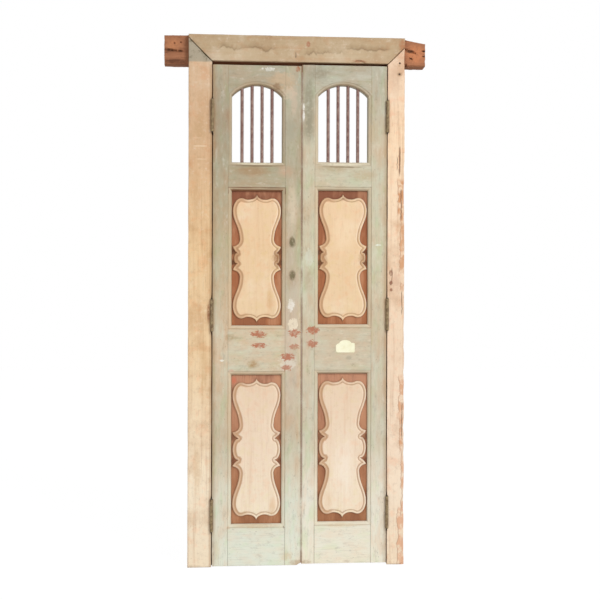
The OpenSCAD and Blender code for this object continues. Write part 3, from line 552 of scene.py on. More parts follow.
def panel_wood():
    """Scrubbed pale carving on a red-brown ground, told apart by their depth."""
    material, recipe, position = new_finish("carved panel wood")
    x, y, z = recipe.split(position)
    height = recipe.sum("DIVIDE", z, TOP)
    tone = recipe.ramp(height, [(0.08, "f8e8cf"), (0.22, "f2dcc3"), (0.36, "ead0b4"),
                                (0.46, "edd0aa"), (0.6, "eccba2"), (0.7, "efcfa9")])
    grain = recipe.group(GRAIN, Position=position, Stretch=(48.0, 48.0, 2.2))
    cloud = recipe.noise(position, 9.0, detail=5)
    blotch = recipe.group(BLOTCH, Position=position)
    tone = recipe.stain(tone, "d6a87e", recipe.fade(grain["Streaks"], 0.5, 0.78), 0.28)
    tone = recipe.stain(tone, "fbf0de", recipe.fade(cloud, 0.5, 0.3), 0.22)
    tone = recipe.stain(tone, "fff2ea", blotch["Pink"], 0.6, blend="MULTIPLY")
    tone = recipe.stain(tone, "fbfcec", blotch["Green"], 0.6, blend="MULTIPLY")
    tone = recipe.stain(tone, "b98a60", blotch["Dark"], 0.16)
    tone = recipe.stain(tone, "b58459", recipe.fade(grain["Fibres"], 0.5, 0.72), 0.14)
    # Painted shade in the sunk line and on the rim's outer slope
    line = recipe.fade(y, PANEL_GROUND - 6.0 * MM, PANEL_GROUND - 5.0 * MM)
    tone = recipe.stain(tone, "a97d57", line, 0.6)
    # Painted shade on the slopes that face left, away from the key lamp
    facing = recipe.facing()["X"]
    shaded_left_slope = recipe.times(recipe.fade(facing, -0.1, -0.55), recipe.fade(cloud, 0.34, 0.5))
    tone = recipe.stain(tone, "b27c58", shaded_left_slope, 0.6)
    on_right = recipe.sum("GREATER_THAN", x, MEETING)
    own_middle = recipe.sum("MULTIPLY_ADD", on_right, PANEL_MIDDLES[1] - PANEL_MIDDLES[0], PANEL_MIDDLES[0])
    across = recipe.sum("SUBTRACT", x, own_middle)
    # Painted shade over the rim on the left half of each carving
    shaded_left_rim = recipe.times(recipe.fade(y, PANEL_GROUND - 7.2 * MM, PANEL_GROUND - 6.8 * MM),
                            recipe.fade(across, -20 * MM, -70 * MM))
    tone = recipe.stain(tone, "c69a74", shaded_left_rim, 0.66)
    # Painted highlight on the slopes facing right, on the right half of each carving
    lit_right_rim = recipe.times(recipe.fade(facing, 0.12, 0.5), recipe.fade(across, 10 * MM, 60 * MM))
    tone = recipe.stain(tone, "fff0dc", lit_right_rim, 0.5)
    red = recipe.ramp(height, [(0.1, "a8724f"), (0.2, "ab7453"), (0.35, "c28d70"),
                               (0.46, "aa6c46"), (0.6, "a96842"), (0.71, "8c573f")])
    drawn = recipe.vector("MULTIPLY", position, (1.0, 1.0, 0.25))
    streaky = recipe.noise(drawn, 22.0, detail=5)
    red = recipe.stain(red, "c99470", recipe.fade(streaky, 0.46, 0.66), 0.55)
    red = recipe.stain(red, "84513a", recipe.fade(streaky, 0.5, 0.34), 0.45)
    red = recipe.stain(red, "7c4630", recipe.fade(grain["Fibres"], 0.5, 0.7), 0.35)
    red = put_marks(recipe, position, red, GROUND_MARKS, streaky)
    ground = recipe.fade(y, PANEL_GROUND - 3.4 * MM, PANEL_GROUND - 1.2 * MM)
    tone = recipe.mix(ground, tone, red)
    tone = put_marks(recipe, position, tone, PANEL_MARKS, recipe.noise(drawn, 70.0, detail=5, roughness=0.7))
    edges = recipe.group(EDGES, Radius=1.5 * MM, Reach=16 * MM)
    # Painted shade, with dirt, in the hollows, deepest where the ground meets the mouldings
    tone = recipe.stain(tone, "5f3523", edges["Hollow Shade And Dirt"], 0.65)
    close_finish(recipe, tone, 0.66, grain["Fibres"], 0.4 * MM)
    return material


def plain_finish(name, light, dark, roughness, scale=60.0, rust=None, gloss=0.3):
    """Worn iron, wood or paper of two tones, with spots of rust where it has any."""
    material, recipe, position = new_finish(name)
    cloud = recipe.noise(position, scale, detail=5)
    tone = recipe.mix(recipe.fade(cloud, 0.35, 0.65), colour(light), colour(dark))
    if rust:
        spots = recipe.fade(recipe.noise(position, scale * 2.3, detail=4), 0.55, 0.68)
        tone = recipe.stain(tone, rust, spots, 0.7)
    close_finish(recipe, tone, roughness, cloud, 0.3 * MM, gloss)
    return material


# Paint and ground coat by height, as shares of the door's height
LEFT_SAGE = [(0.04, "e6eadb"), (0.15, "dfe1d0"), (0.24, "cdcab4"), (0.42, "d5d1ba"),
             (0.587, "bfba9d"), (0.832, "aba58e"), (0.95, "b6b4a0")]
LEFT_TAN = [(0.04, "ebe3ce"), (0.15, "e0d3ba"), (0.24, "ccb697"), (0.42, "d9b895"),
            (0.587, "c9ad8a"), (0.832, "ac9276"), (0.95, "bda98d")]
RIGHT_SAGE = [(0.04, "efeddd"), (0.15, "eae7d8"), (0.24, "d6d2be"), (0.42, "cfcab3"),
              (0.6, "d3d0b6"), (0.8, "cbc8b2"), (0.95, "bdbcaa")]
RIGHT_TAN = [(0.04, "f1e8d2"), (0.15, "ecdfc8"), (0.24, "d3c3a9"), (0.42, "d2b99b"),
             (0.6, "d1bc9d"), (0.8, "d0bda0"), (0.95, "b3a289")]
LEFT_STILE_PAINT = leaf_paint("left stile paint", UPRIGHT, LEFT_SAGE, LEFT_TAN, LEFT_LEAF_MARKS)
LEFT_RAIL_PAINT = leaf_paint("left rail paint", LEVEL, LEFT_SAGE, LEFT_TAN, LEFT_LEAF_MARKS,
                             SHOULDERS["left"])
RIGHT_STILE_PAINT = leaf_paint("right stile paint", UPRIGHT, RIGHT_SAGE, RIGHT_TAN, RIGHT_LEAF_MARKS)
RIGHT_RAIL_PAINT = leaf_paint("right rail paint", LEVEL, RIGHT_SAGE, RIGHT_TAN, RIGHT_LEAF_MARKS,
                              SHOULDERS["right"])
LEFT_JAMB_WOOD = bare_frame("left jamb wood", UPRIGHT, [
    (0.0, "f8e6ca"), (0.15, "fbeacf"), (0.4, "eed0a6"), (0.6, "ecca9c"), (0.78, "dbb68f"), (1.0, "dbbb9a")],
    LEFT_JAMB_MARKS, crown=INNER_BROWNING_TOP + 10 * MM)
RIGHT_JAMB_WOOD = bare_frame("right jamb wood", UPRIGHT, [
    (0.0, "fae6ca"), (0.2, "fae4cb"), (0.4, "f1d7bb"), (0.6, "f6dcbe"), (0.8, "fadcb9"), (1.0, "ebcdb2")],
    RIGHT_JAMB_MARKS,
    strips=((411, 1400, 1560, "d29a70"), (424, 1165, 1430, "d8a47c"), (420, 1095, 1150, "d09a74"),
            (418, 600, 770, "dfae8a"), (420, 440, 600, "dba780"), (428, 180, 470, "e4b592"),
            (415, -40, 240, "e8b896")),
    cracks=((418, 1560, 1690, 2.5), (409, 1580, 1650, 2.0), (424, 1380, 1520, 3.0),
            (428, 1000, 1110, 2.5), (430, 500, 660, 2.5), (388, 1120, 1200, 3.0)))
HEAD_WOOD = bare_frame("head wood", (2.4, 50.0, 50.0), [(0.0, "c1a886"), (1.0, "c1a886")], HEAD_MARKS,
                       tides=((2066, 90, 15.0, -340, -70), (2052, 120, 13.0, 20, 210),
                              (2070, 100, 9.0, 180, 390)))
PANEL_WOOD = panel_wood()
BAR_IRON = plain_finish("window bar iron", "a2877c", "83625a", 0.6, rust="664238")
HINGE_IRON = plain_finish("painted hinge iron", "a3906c", "755f45", 0.6, rust="6f4a30")
PIN_IRON = plain_finish("hinge pin iron", "6b604e", "4c4033", 0.55, rust="6f4a30")
SCREW_IRON = plain_finish("screw iron", "7d7466", "50473b", 0.5)
PEG_WOOD = plain_finish("peg wood", "a8794f", "85583a", 0.7)
PAPER = plain_finish("blank paper", "fbf8da", "f4efcb", 0.8, scale=40.0)
NAIL_IRON = plain_finish("nail iron", "6e5242", "4a3528", 0.6, rust="7a4528")


# Shapes

def skin_of(node):
    """The CAD node's shape as one closed skin of large flat faces."""
    shape = bmesh.new()
    shape.from_mesh(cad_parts[node].data)
    bmesh.ops.remove_doubles(shape, verts=shape.verts, dist=0.01 * MM)
    bmesh.ops.dissolve_limit(shape, angle_limit=math.radians(0.5), verts=shape.verts, edges=shape.edges,
                             delimit={"NORMAL"})
    return shape


def ease_edges(shape, chosen, width):
    """Rounds the chosen sharp edges."""
    edges = [edge for edge in shape.edges
             if edge.is_manifold and edge.calc_face_angle() > math.radians(25) and chosen(edge)]
    bmesh.ops.bevel(shape, geom=edges, offset=width, offset_type="OFFSET", segments=2, profile=0.5,
                    affect="EDGES", clamp_overlap=False)


def on_members(place, boxes):
    """Whether this place, seen from the front, lies on one of the members with these boxes."""
    return any(all(low[i] - 0.5 * MM < place[i] < high[i] + 0.5 * MM for i in (0, 2)) for low, high in boxes)


def on_planes(depths, boxes):
    """Chooses the edges on one of these upright planes, but not those that close against joined members."""
    def chosen(edge):
        middle = (edge.verts[0].co + edge.verts[1].co) / 2
        if edge.calc_length() < 3 * MM or on_members(middle, boxes):
            return False
        return any(all(abs(v.co.y - depth) < 0.05 * MM for v in edge.verts) for depth in depths)
    return chosen


def slice_across(shape, axis, step):
    """Cuts the skin into strips of this width, so that it can be worn unevenly."""
    low = min(v.co[axis] for v in shape.verts)
    high = max(v.co[axis] for v in shape.verts)
    normal = Vector([float(i == axis) for i in range(3)])
    for i in range(1, int((high - low) / step)):
        geometry = shape.verts[:] + shape.edges[:] + shape.faces[:]
        bmesh.ops.bisect_plane(shape, geom=geometry, dist=0.001 * MM, plane_co=normal * (low + i * step),
                               plane_no=normal)


def wear_down(shape, depth, size, boxes):
    """Presses the surface in by up to depth, in hollows of about that size, and chips its arrises.

    Where it closes against a joined member both stay level, with a faint line between them."""
    shape.normal_update()
    moves = []
    for vert in shape.verts:
        amount = max(0.0, noise.noise(vert.co / size) + 0.35) / 1.35
        arris = 0.25 < abs(vert.normal.y) < 0.96
        if on_members(vert.co, boxes):
            inward = -math.copysign(depth * amount + (0.2 * MM if arris else 0.0), vert.normal.y)
            moves.append((vert, Vector((0.0, inward if abs(vert.normal.y) > 0.25 else 0.0, 0.0))))
        else:
            chips = 2.5 * max(0.0, noise.noise(vert.co / (size * 0.3)) - 0.1) if arris else 0.0
            moves.append((vert, vert.normal * -depth * (amount + chips)))
    for vert, move in moves:
        vert.co += move


def add_piece(name, mesh, body, finish, slot, *nodes):
    """Puts a finished mesh on its body, in place of the CAD nodes that it dresses."""
    mesh.materials.clear()
    mesh.materials.append(finish)
    piece = bpy.data.objects.new(name, mesh)
    bpy.context.collection.objects.link(piece)
    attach(piece, body)
    if nodes:
        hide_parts(*nodes)
    return piece


def mesh_of(name, shape, sharp=25):
    mesh = bpy.data.meshes.new(name)
    bmesh.ops.recalc_face_normals(shape, faces=shape.faces)
    for face in shape.faces:
        face.smooth = True
    for edge in shape.edges:
        edge.smooth = edge.is_manifold and edge.calc_face_angle() < math.radians(sharp)
    shape.to_mesh(mesh)
    shape.free()
    return mesh


def worn_member(node, body, finish, slot, axis, planes, edge, depth,
                step=26 * MM, cross_step=14 * MM, damage=None, joined=(), sharp=25):
    """One member, long along this axis, worn from its CAD shape.

    The arrises on the planes are eased by edge and the faces pressed in by depth. Damage is its own."""
    shape = skin_of(node)
    boxes = [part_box(name) for name in joined]
    ease_edges(shape, on_planes(planes, boxes), edge)
    slice_across(shape, axis, step)
    slice_across(shape, 2 - axis, cross_step)
    wear_down(shape, depth, 70 * MM, boxes)
    if damage:
        damage(shape)
    return add_piece("worn_" + node, mesh_of("worn_" + node, shape, sharp), body, finish, slot, node)


def crack_depth(place):
    """How far the cracks cut in at this place on a horn's face."""
    spot = Vector((place.x, place.z)) / MM
    cut = 0.0
    for x0, z0, x1, z1, wide, deep in HORN_CRACKS:
        start, run = Vector((x0, z0)), Vector((x1 - x0, z1 - z0))
        share = min(1.0, max(0.0, (spot - start).dot(run) / run.length_squared))
        wander = noise.noise(Vector((spot.x * 0.15, 0.4, spot.y * 0.15)))
        off = (spot - start - run * share).length + 2.5 * wander
        cut = max(cut, deep * min(1.0, max(0.0, (wide - off) / (wide * 0.8))))
    return cut * MM


def split_horns(shape):
    """Dries and cracks the two horns: rough faces, holes, splits, a waney lower edge and a sloping top."""
    foot = min(v.co.z for v in shape.verts if v.co.x < OUTER[0] - 2 * MM)
    columns, rows, layers = 56, 66, 14
    roughness, wane_reach, top_reach, lift_reach = 2.4 * MM, 30 * MM, 40 * MM, 40 * MM
    cuts = []
    for side, outer in zip((-1, 1), OUTER):
        tip = max(v.co.x * side for v in shape.verts) * side
        zone = (outer, tip)
        cuts += [(0, outer + (tip - outer) * i / columns, zone) for i in range(columns)]
        cuts += [(2, foot + (TOP - foot) * i / rows, zone) for i in range(1, rows)]
        cuts += [(1, HORN_FACE + (FRAME_BACK - HORN_FACE) * i / layers, zone) for i in range(1, layers)]
    for axis, place, zone in cuts:
        normal = Vector([float(i == axis) for i in range(3)])
        near = [f for f in shape.faces
                if all(min(zone) - 1e-5 <= v.co.x <= max(zone) + 1e-5 for v in f.verts)]
        if axis == 0 and place in OUTER:
            near = shape.faces[:]
        geometry = near + list({e for f in near for e in f.edges}) + list({v for f in near for v in f.verts})
        bmesh.ops.bisect_plane(shape, geom=geometry, dist=0.001 * MM, plane_co=normal * place,
                               plane_no=normal)
    shape.normal_update()
    moves = []
    for vert in shape.verts:
        out = max(OUTER[0] - vert.co.x, vert.co.x - OUTER[1])
        if out < 1 * MM or vert.co.y < HORN_FACE - 0.5 * MM:
            continue
        left = vert.co.x < 0
        ends = min(1.0, out / (8 * MM))
        rough = max(0.0, 0.5 + 0.5 * noise.fractal(vert.co * 45, 1.0, 2.0, 4))
        move = vert.normal * -ends * rough * roughness
        if vert.normal.y < -0.5:
            move.y += crack_depth(vert.co)
        waney = (16 if left else 8) * MM - (vert.co.z - foot)
        if waney > 0 and vert.co.y < HORN_FACE + wane_reach:
            move.y += waney * 0.9 * (1 - (vert.co.y - HORN_FACE) / wane_reach) * ends
        high = max(0.0, vert.co.z - TOP + top_reach) / top_reach
        move.z -= high * out * (0.02 if left else 0.06)
        if not left:
            move.z += 7 * MM * ends * max(0.0, 1 - (vert.co.z - foot) / lift_reach)
        moves.append((vert, move))
    for vert, move in moves:
        vert.co += move


def nick_hinge_edge(shape):
    """Breaks small pieces off the hinge stile's front arris beside the upper hinge."""
    edge = min(v.co.x for v in shape.verts)
    low, high, cuts = 1700 * MM, 1850 * MM, 30
    for i in range(cuts):
        geometry = shape.verts[:] + shape.edges[:] + shape.faces[:]
        bmesh.ops.bisect_plane(shape, geom=geometry, dist=0.001 * MM, plane_no=Vector((0, 0, 1)),
                               plane_co=Vector((0, 0, low + (high - low) * i / (cuts - 1))))
    for vert in shape.verts:
        if low < vert.co.z < high and vert.co.x < edge + 4 * MM and vert.co.y < FRONT + 6 * MM:
            bite = max(0.0, noise.noise(Vector((0.3, 0.7, vert.co.z * 70))) + 0.2)
            vert.co.x += bite * 5 * MM


def close_meeting(shape):
    """Brings the leaves' front arrises almost together, where paint has built up on them."""
    half_gap = 0.15 * MM
    for vert in shape.verts:
        off = vert.co.x - MEETING
        if abs(off) < 3 * MM and FRONT + 0.6 * MM < vert.co.y < FRONT + 3 * MM:
            vert.co.x = MEETING + math.copysign(half_gap, off)


def swell_doorway(shape):
    """Lets the jamb's inner side swell towards the leaf between the hinges, which narrows the gap."""
    swelling, hinge_reach = 2 * MM, 70 * MM
    for vert in shape.verts:
        inner = DOORWAY[0] if vert.co.x < 0 else DOORWAY[1]
        beside_hinge = any(abs(vert.co.z - height) < hinge_reach for height in HINGE_HEIGHTS)
        if abs(vert.co.x - inner) < 4 * MM and vert.co.y < LEAF_BACK and not beside_hinge:
            vert.co.x -= math.copysign(swelling, inner)


def fray_outer_edge(shape):
    """Leaves the right jamb's outer arris wavy."""
    edge = max(v.co.x for v in shape.verts)
    for vert in shape.verts:
        if vert.co.x > edge - 3 * MM and vert.co.y < FRONT + 12 * MM:
            vert.co.x -= 3.5 * MM * max(0.0, noise.noise(Vector((1.3, 0.2, vert.co.z * 16))) + 0.1)


def weather_right_jamb(shape):
    swell_doorway(shape)
    fray_outer_edge(shape)


# Carved panels: the CAD's outline, with the rim and the sunk line cut round

# Distance in from the carving's outline, and height over the panel's ground, both in millimetres
CARVED_PROFILE = ((0.0, 0.0), (0.4, 3.4), (1.2, 5.2), (2.4, 6.3), (4.0, 6.9), (5.6, 6.8), (7.0, 6.3),
                  (8.4, 5.5), (10.0, 4.9), (11.6, 5.0), (13.2, 5.7), (15.0, 6.6), (17.0, 7.2), (20.0, 7.5))


def carving_foot(shape):
    """The closed line where the carving meets the panel's ground, as points in x and z, in order."""
    low = [min(v.co[i] for v in shape.verts) for i in range(3)]
    high = [max(v.co[i] for v in shape.verts) for i in range(3)]
    beside = {}
    for edge in shape.edges:
        ends = edge.verts
        if any(abs(v.co.y - PANEL_GROUND) > 0.05 * MM for v in ends):
            continue
        if any(min(v.co[i] - low[i], high[i] - v.co[i]) < 1 * MM for v in ends for i in (0, 2)):
            continue
        if any(max(v.co.y for v in face.verts) < PANEL_GROUND + 0.05 * MM and abs(face.normal.y) < 0.5
               for face in edge.link_faces):
            for one, other in (ends, reversed(ends)):
                beside.setdefault(one, []).append(other)
    at = max(beside, key=lambda v: v.co.z)
    line, before = [], None
    while not line or at is not line[0]:
        line.append(at)
        at, before = next(v for v in beside[at] if v is not before), at
    return [Vector((v.co.x, v.co.z)) for v in line]


def rounded_line(points, step):
    """The closed line through these points, smooth except at its sharp corners; also the corners' numbers."""
    count = len(points)
    ways = [(points[(i + 1) % count] - points[i]).normalized() for i in range(count)]
    sharp = [abs(ways[i - 1].angle_signed(ways[i])) > math.radians(35) for i in range(count)]
    fine, corners = [], []
    for i in range(count):
        a, b = points[i], points[(i + 1) % count]
        before = a + (a - b) if sharp[i] else points[i - 1]
        after = b + (b - a) if sharp[(i + 1) % count] else points[(i + 2) % count]
        if sharp[i]:
            corners.append(len(fine))
        pieces = max(1, round((b - a).length / step))
        for j in range(pieces):
            t = j / pieces
            fine.append(0.5 * (2 * a + (b - before) * t + (2 * before - 5 * a + 4 * b - after) * t * t
                               + (3 * a - before - 3 * b + after) * t ** 3))
    return fine, corners


def depth_inside(places, line):
    """How far each place lies inside the closed line, less than nothing outside it."""
    a = np.array([tuple(p) for p in line])
    way = np.roll(a, -1, axis=0) - a
    near = np.full(len(places), 1e9)
    inside = np.zeros(len(places), dtype=bool)
    for start, run in zip(a, way):
        rel = places - start
        t = np.clip((rel @ run) / (run @ run), 0.0, 1.0)
        near = np.minimum(near, np.hypot(*(rel - t[:, None] * run).T))
        crosses = (rel[:, 1] < 0) != (rel[:, 1] < run[1])
        side = start[0] + rel[:, 1] * run[0] / (run[1] if run[1] else 1e-12)
        inside ^= crosses & (places[:, 0] < side)
    return np.where(inside, near, -near)


def profile_places(line, corners):
    """Places along the rim and the sunk line, row by row, with rounds about the inner corners."""
    count = len(line)
    area = sum(line[i - 1].cross(line[i]) for i in range(count))
    turn = 1.0 if area > 0 else -1.0
    rows = []
    for depth, _ in CARVED_PROFILE[1:]:
        row = []
        for i in range(count):
            into = [Vector((-w.y, w.x)) * turn for w in ((line[i] - line[i - 1]).normalized(),
                                                       (line[(i + 1) % count] - line[i]).normalized())]
            if i in corners:
                for share in (0.0, 0.25, 0.5, 0.75, 1.0):
                    row.append(line[i] + into[0].lerp(into[1], share).normalized() * depth * MM)
                middle = (into[0] + into[1]).normalized()
                row.append(line[i] + middle * depth * MM / max(0.2, middle.dot(into[0])))
            else:
                row.append(line[i] + (into[0] + into[1]).normalized() * depth * MM)
        places = np.array([tuple(p) for p in row])
        rows.append(places[np.abs(depth_inside(places, line) - depth * MM) < 0.15 * MM])
    return np.concatenate(rows)


def carved_panel(node, body):
    """The panel board with its carving as one smooth relief: ground, round rim, sunk line and field."""
    shape = skin_of(node)
    low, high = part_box(node)
    line, corners = rounded_line(carving_foot(shape), 3 * MM)
    shape.free()
    pitch = 7 * MM
    across, up = (np.arange(a + pitch, b - pitch / 2, pitch) for a, b in ((low.x, high.x), (low.z, high.z)))
    spots = np.array([(x + (j % 2) * pitch / 2, z) for j, z in enumerate(up) for x in across])
    deep = depth_inside(spots, line)
    spots = spots[(deep < -2 * MM) | (deep > CARVED_PROFILE[-1][0] * MM + 2 * MM)]
    rows = profile_places(line, corners)
    border = [(low.x, low.z), (high.x, low.z), (high.x, high.z), (low.x, high.z)]
    places = border + [tuple(p) for p in line] + [tuple(p) for p in rows] + [tuple(p) for p in spots]
    count = len(line)
    edges = [(i, (i + 1) % 4) for i in range(4)] + [(4 + i, 4 + (i + 1) % count) for i in range(count)]
    flat = delaunay_2d_cdt([Vector(p) for p in places], edges, [], 0, 1e-7)
    spread = np.array([tuple(v) for v in flat[0]])
    deep = depth_inside(spread, line)
    ins, ups = (np.array(values) * MM for values in zip(*CARVED_PROFILE))
    rise = np.interp(deep, ins, ups)
    made = bmesh.new()
    verts = []
    for (x, z), far, height in zip(spread, deep, rise):
        tooled = noise.noise(Vector((x * 70, 3.3, z * 45)))
        if far < -1 * MM:
            height -= 0.5 * MM * max(0.0, tooled + 0.2)
        elif far > 2 * MM:
            height += 0.25 * MM * tooled
        verts.append(made.verts.new((x, PANEL_GROUND - height, z)))
    for face in flat[2]:
        made.faces.new([verts[i] for i in face])
    rim = [edge for edge in made.edges if edge.is_boundary]
    sides = bmesh.ops.extrude_edge_only(made, edges=rim)["geom"]
    foot = [item for item in sides if isinstance(item, bmesh.types.BMVert)]
    for vert in foot:
        vert.co.y = high.y
    bmesh.ops.contextual_create(made, geom=foot)
    name = "carved_" + node
    return add_piece(name, mesh_of(name, made, 50), body, PANEL_WOOD, "panel_wood", node)


# Window bars and nails, each made by one tree

def shape_tree(name, inputs):
    """A new tree of shapes with these inputs; also its recipe and what it is given."""
    tree = bpy.data.node_groups.new(name, "GeometryNodeTree")
    for label, kind in inputs.items():
        tree.interface.new_socket(label, in_out="INPUT", socket_type="NodeSocket" + kind)
    tree.interface.new_socket("Shape", in_out="OUTPUT", socket_type="NodeSocketGeometry")
    recipe = Recipe(tree)
    return tree, recipe, recipe.node("NodeGroupInput").outputs


def put_out(recipe, shape, finish):
    smooth = recipe.node("GeometryNodeSetShadeSmooth", {0: shape}).outputs[0]
    done = recipe.node("GeometryNodeSetMaterial", {"Geometry": smooth, "Material": finish}).outputs[0]
    recipe.node("NodeGroupOutput", {0: done})


def bars_tree():
    tree, recipe, given = shape_tree("window bars", {
        "First": "Vector", "Pitch": "Float", "Count": "Int", "Radius": "Float", "Arch Middle": "Float",
        "Arch Centre Height": "Float", "Arch Radius": "Float", "Finish": "Material"})
    pitch = recipe.node("ShaderNodeCombineXYZ", {"X": given["Pitch"]}).outputs[0]
    feet = recipe.node("GeometryNodeMeshLine", {"Count": given["Count"], "Start Location": given["First"],
                                                "Offset": pitch}).outputs[0]
    place = recipe.split(recipe.node("GeometryNodeInputPosition").outputs[0])
    across = recipe.sum("SUBTRACT", place["X"], given["Arch Middle"])
    square = recipe.sum("SUBTRACT", recipe.sum("POWER", given["Arch Radius"], 2.0),
                        recipe.sum("POWER", across, 2.0))
    crown = recipe.sum("ADD", given["Arch Centre Height"], recipe.sum("SQRT", square))
    length = recipe.sum("SUBTRACT", crown, place["Z"])
    scale = recipe.node("ShaderNodeCombineXYZ", {"X": 1.0, "Y": 1.0, "Z": length}).outputs[0]
    rod = recipe.node("GeometryNodeMeshCylinder", {
        "Vertices": 24, "Side Segments": 40, "Radius": given["Radius"], "Depth": 1.0}).outputs[0]
    raised = recipe.node("GeometryNodeTransform",
                         {"Geometry": rod, "Translation": (0.0, 0.0, 0.5)}).outputs[0]
    turn = recipe.node("FunctionNodeRandomValue", {
        "Min": (0.0, 0.0, 0.0), "Max": (0.0, 0.0, 6.28), "Seed": 4}, data_type="FLOAT_VECTOR").outputs[0]
    bars = recipe.node("GeometryNodeInstanceOnPoints", {"Points": feet, "Instance": raised, "Rotation": turn,
                                                        "Scale": scale}).outputs[0]
    solid = recipe.node("GeometryNodeRealizeInstances", {0: bars}).outputs[0]
    normal = recipe.node("GeometryNodeInputNormal").outputs[0]
    rough = recipe.noise(recipe.node("GeometryNodeInputPosition").outputs[0], 45.0, detail=3)
    press = recipe.times(rough, -0.7 * MM)
    shift = recipe.node("ShaderNodeVectorMath", {0: normal, "Scale": press}, operation="SCALE").outputs[0]
    worn = recipe.node("GeometryNodeSetPosition", {"Geometry": solid, "Offset": shift}).outputs[0]
    put_out(recipe, worn, given["Finish"])
    return tree


def grown_mesh(name, tree, inputs):
    """The plain mesh that a tree makes from these named inputs."""
    seed = bpy.data.objects.new(name, bpy.data.meshes.new(name))
    bpy.context.collection.objects.link(seed)
    grow = seed.modifiers.new("grow", "NODES")
    grow.node_group = tree
    for item in tree.interface.items_tree:
        if item.in_out == "INPUT" and item.name in inputs:
            grow[item.identifier] = inputs[item.name]
    bpy.context.view_layer.update()
    mesh = bpy.data.meshes.new_from_object(seed.evaluated_get(bpy.context.evaluated_depsgraph_get()))
    bpy.data.objects.remove(seed)
    mesh.name = name
    return mesh


def window_bars(side, tree):
    names = [f"{side}_bar_{i}" for i in range(1, 5)]
    low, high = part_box(names[0])
    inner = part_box(names[1])
    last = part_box(names[3])
    radius = (high.x - low.x) / 2
    middle = (low.x + last[1].x) / 2
    pitch = inner[0].x - low.x
    # The two bar lengths give the arch: both tops lie on it
    reach = [abs((box[0].x + box[1].x) / 2 - middle) for box in ((low, high), inner)]
    tops = high.z, inner[1].z
    centre = (tops[0] ** 2 - tops[1] ** 2 + reach[0] ** 2 - reach[1] ** 2) / (2 * (tops[0] - tops[1]))
    arch = math.hypot(reach[0], tops[0] - centre)
    mesh = grown_mesh(side + "_window_bars", tree, {
        "First": ((low.x + high.x) / 2, (low.y + high.y) / 2, low.z), "Pitch": pitch, "Count": len(names),
        "Radius": radius, "Arch Middle": middle, "Arch Centre Height": centre, "Arch Radius": arch,
        "Finish": BAR_IRON})
    add_piece(side + "_window_bars", mesh, side + "_leaf", BAR_IRON, "bar_iron", *names)


def nails_tree():
    tree, recipe, given = shape_tree("old nails", {
        "First": "Vector", "Step": "Vector", "Count": "Int", "Head": "Float", "Finish": "Material"})
    spots = recipe.node("GeometryNodeMeshLine", {"Count": given["Count"], "Start Location": given["First"],
                                                 "Offset": given["Step"]}).outputs[0]
    dome = recipe.node("GeometryNodeMeshUVSphere",
                       {"Segments": 20, "Rings": 10, "Radius": given["Head"]}).outputs[0]
    flat = recipe.node("GeometryNodeTransform", {"Geometry": dome, "Scale": (1.0, 0.45, 0.9)}).outputs[0]
    shank = recipe.node("GeometryNodeMeshCylinder", {
        "Vertices": 12, "Radius": recipe.times(given["Head"], 0.45), "Depth": 12 * MM}).outputs[0]
    driven = recipe.node("GeometryNodeTransform", {"Geometry": shank, "Translation": (0.0, 6 * MM, 0.0),
                                                   "Rotation": (math.pi / 2, 0.0, 0.0)}).outputs[0]
    join = recipe.node("GeometryNodeJoinGeometry")
    for part in (flat, driven):
        tree.links.new(part, join.inputs[0])
    tilt = recipe.node("FunctionNodeRandomValue", {
        "Min": (-0.2, -0.6, -0.2), "Max": (0.2, 0.6, 0.2), "Seed": 7}, data_type="FLOAT_VECTOR").outputs[0]
    set_in = recipe.node("GeometryNodeInstanceOnPoints", {"Points": spots, "Instance": join.outputs[0],
                                                          "Rotation": tilt})
    solid = recipe.node("GeometryNodeRealizeInstances", {0: set_in.outputs[0]}).outputs[0]
    put_out(recipe, solid, given["Finish"])
    return tree


def jamb_nails():
    mesh = grown_mesh("right_jamb_nails", nails_tree(), {
        "First": (417.5 * MM, FRONT + 0.6 * MM, 2019 * MM), "Step": (-1.0 * MM, 0.0, -44.5 * MM), "Count": 2,
        "Head": 4.2 * MM, "Finish": NAIL_IRON})
    add_piece("right_jamb_nails", mesh, "frame", NAIL_IRON, "screw_iron")


def slab_piece(name, outline, y0, y1, body, finish, slot):
    """A flat piece with this outline in x and z, from depth y0 back to y1."""
    shape = bmesh.new()
    front = [shape.verts.new((x, y0, z)) for x, z in outline]
    shape.faces.new(front)
    made = bmesh.ops.extrude_face_region(shape, geom=shape.faces[:])
    for item in made["geom"]:
        if isinstance(item, bmesh.types.BMVert):
            item.co.y = y1
    return add_piece(name, mesh_of(name, shape), body, finish, slot)


def paper_label():
    """The torn-edged blank paper stuck on the right lock rail: square feet, a domed middle."""
    half_w, foot, ear, dome = 38 * MM, -24 * MM, 12 * MM, 26 * MM
    outline = [(-half_w, foot + 6 * MM), (-half_w + 4 * MM, foot), (half_w - 2 * MM, foot),
               (half_w, foot + 4 * MM), (half_w, ear), (half_w - 8 * MM, ear + 3 * MM),
               (half_w - 12 * MM, ear + 2 * MM)]
    outline += [(24 * MM * math.cos(math.radians(a)), ear + (dome - ear) * math.sin(math.radians(a)))
                for a in range(15, 180, 15)]
    outline += [(-half_w + 12 * MM, ear + 1 * MM), (-half_w + 5 * MM, ear - 2 * MM), (-half_w, ear - 8 * MM)]
    middle = Vector((200 * MM, 878 * MM))
    placed = [(middle.x + x, middle.y + z) for x, z in outline]
    slab_piece("blank_paper_label", placed, FRONT - 0.4 * MM, FRONT + 0.6 * MM, "right_leaf", PAPER,
               "leaf_wood")


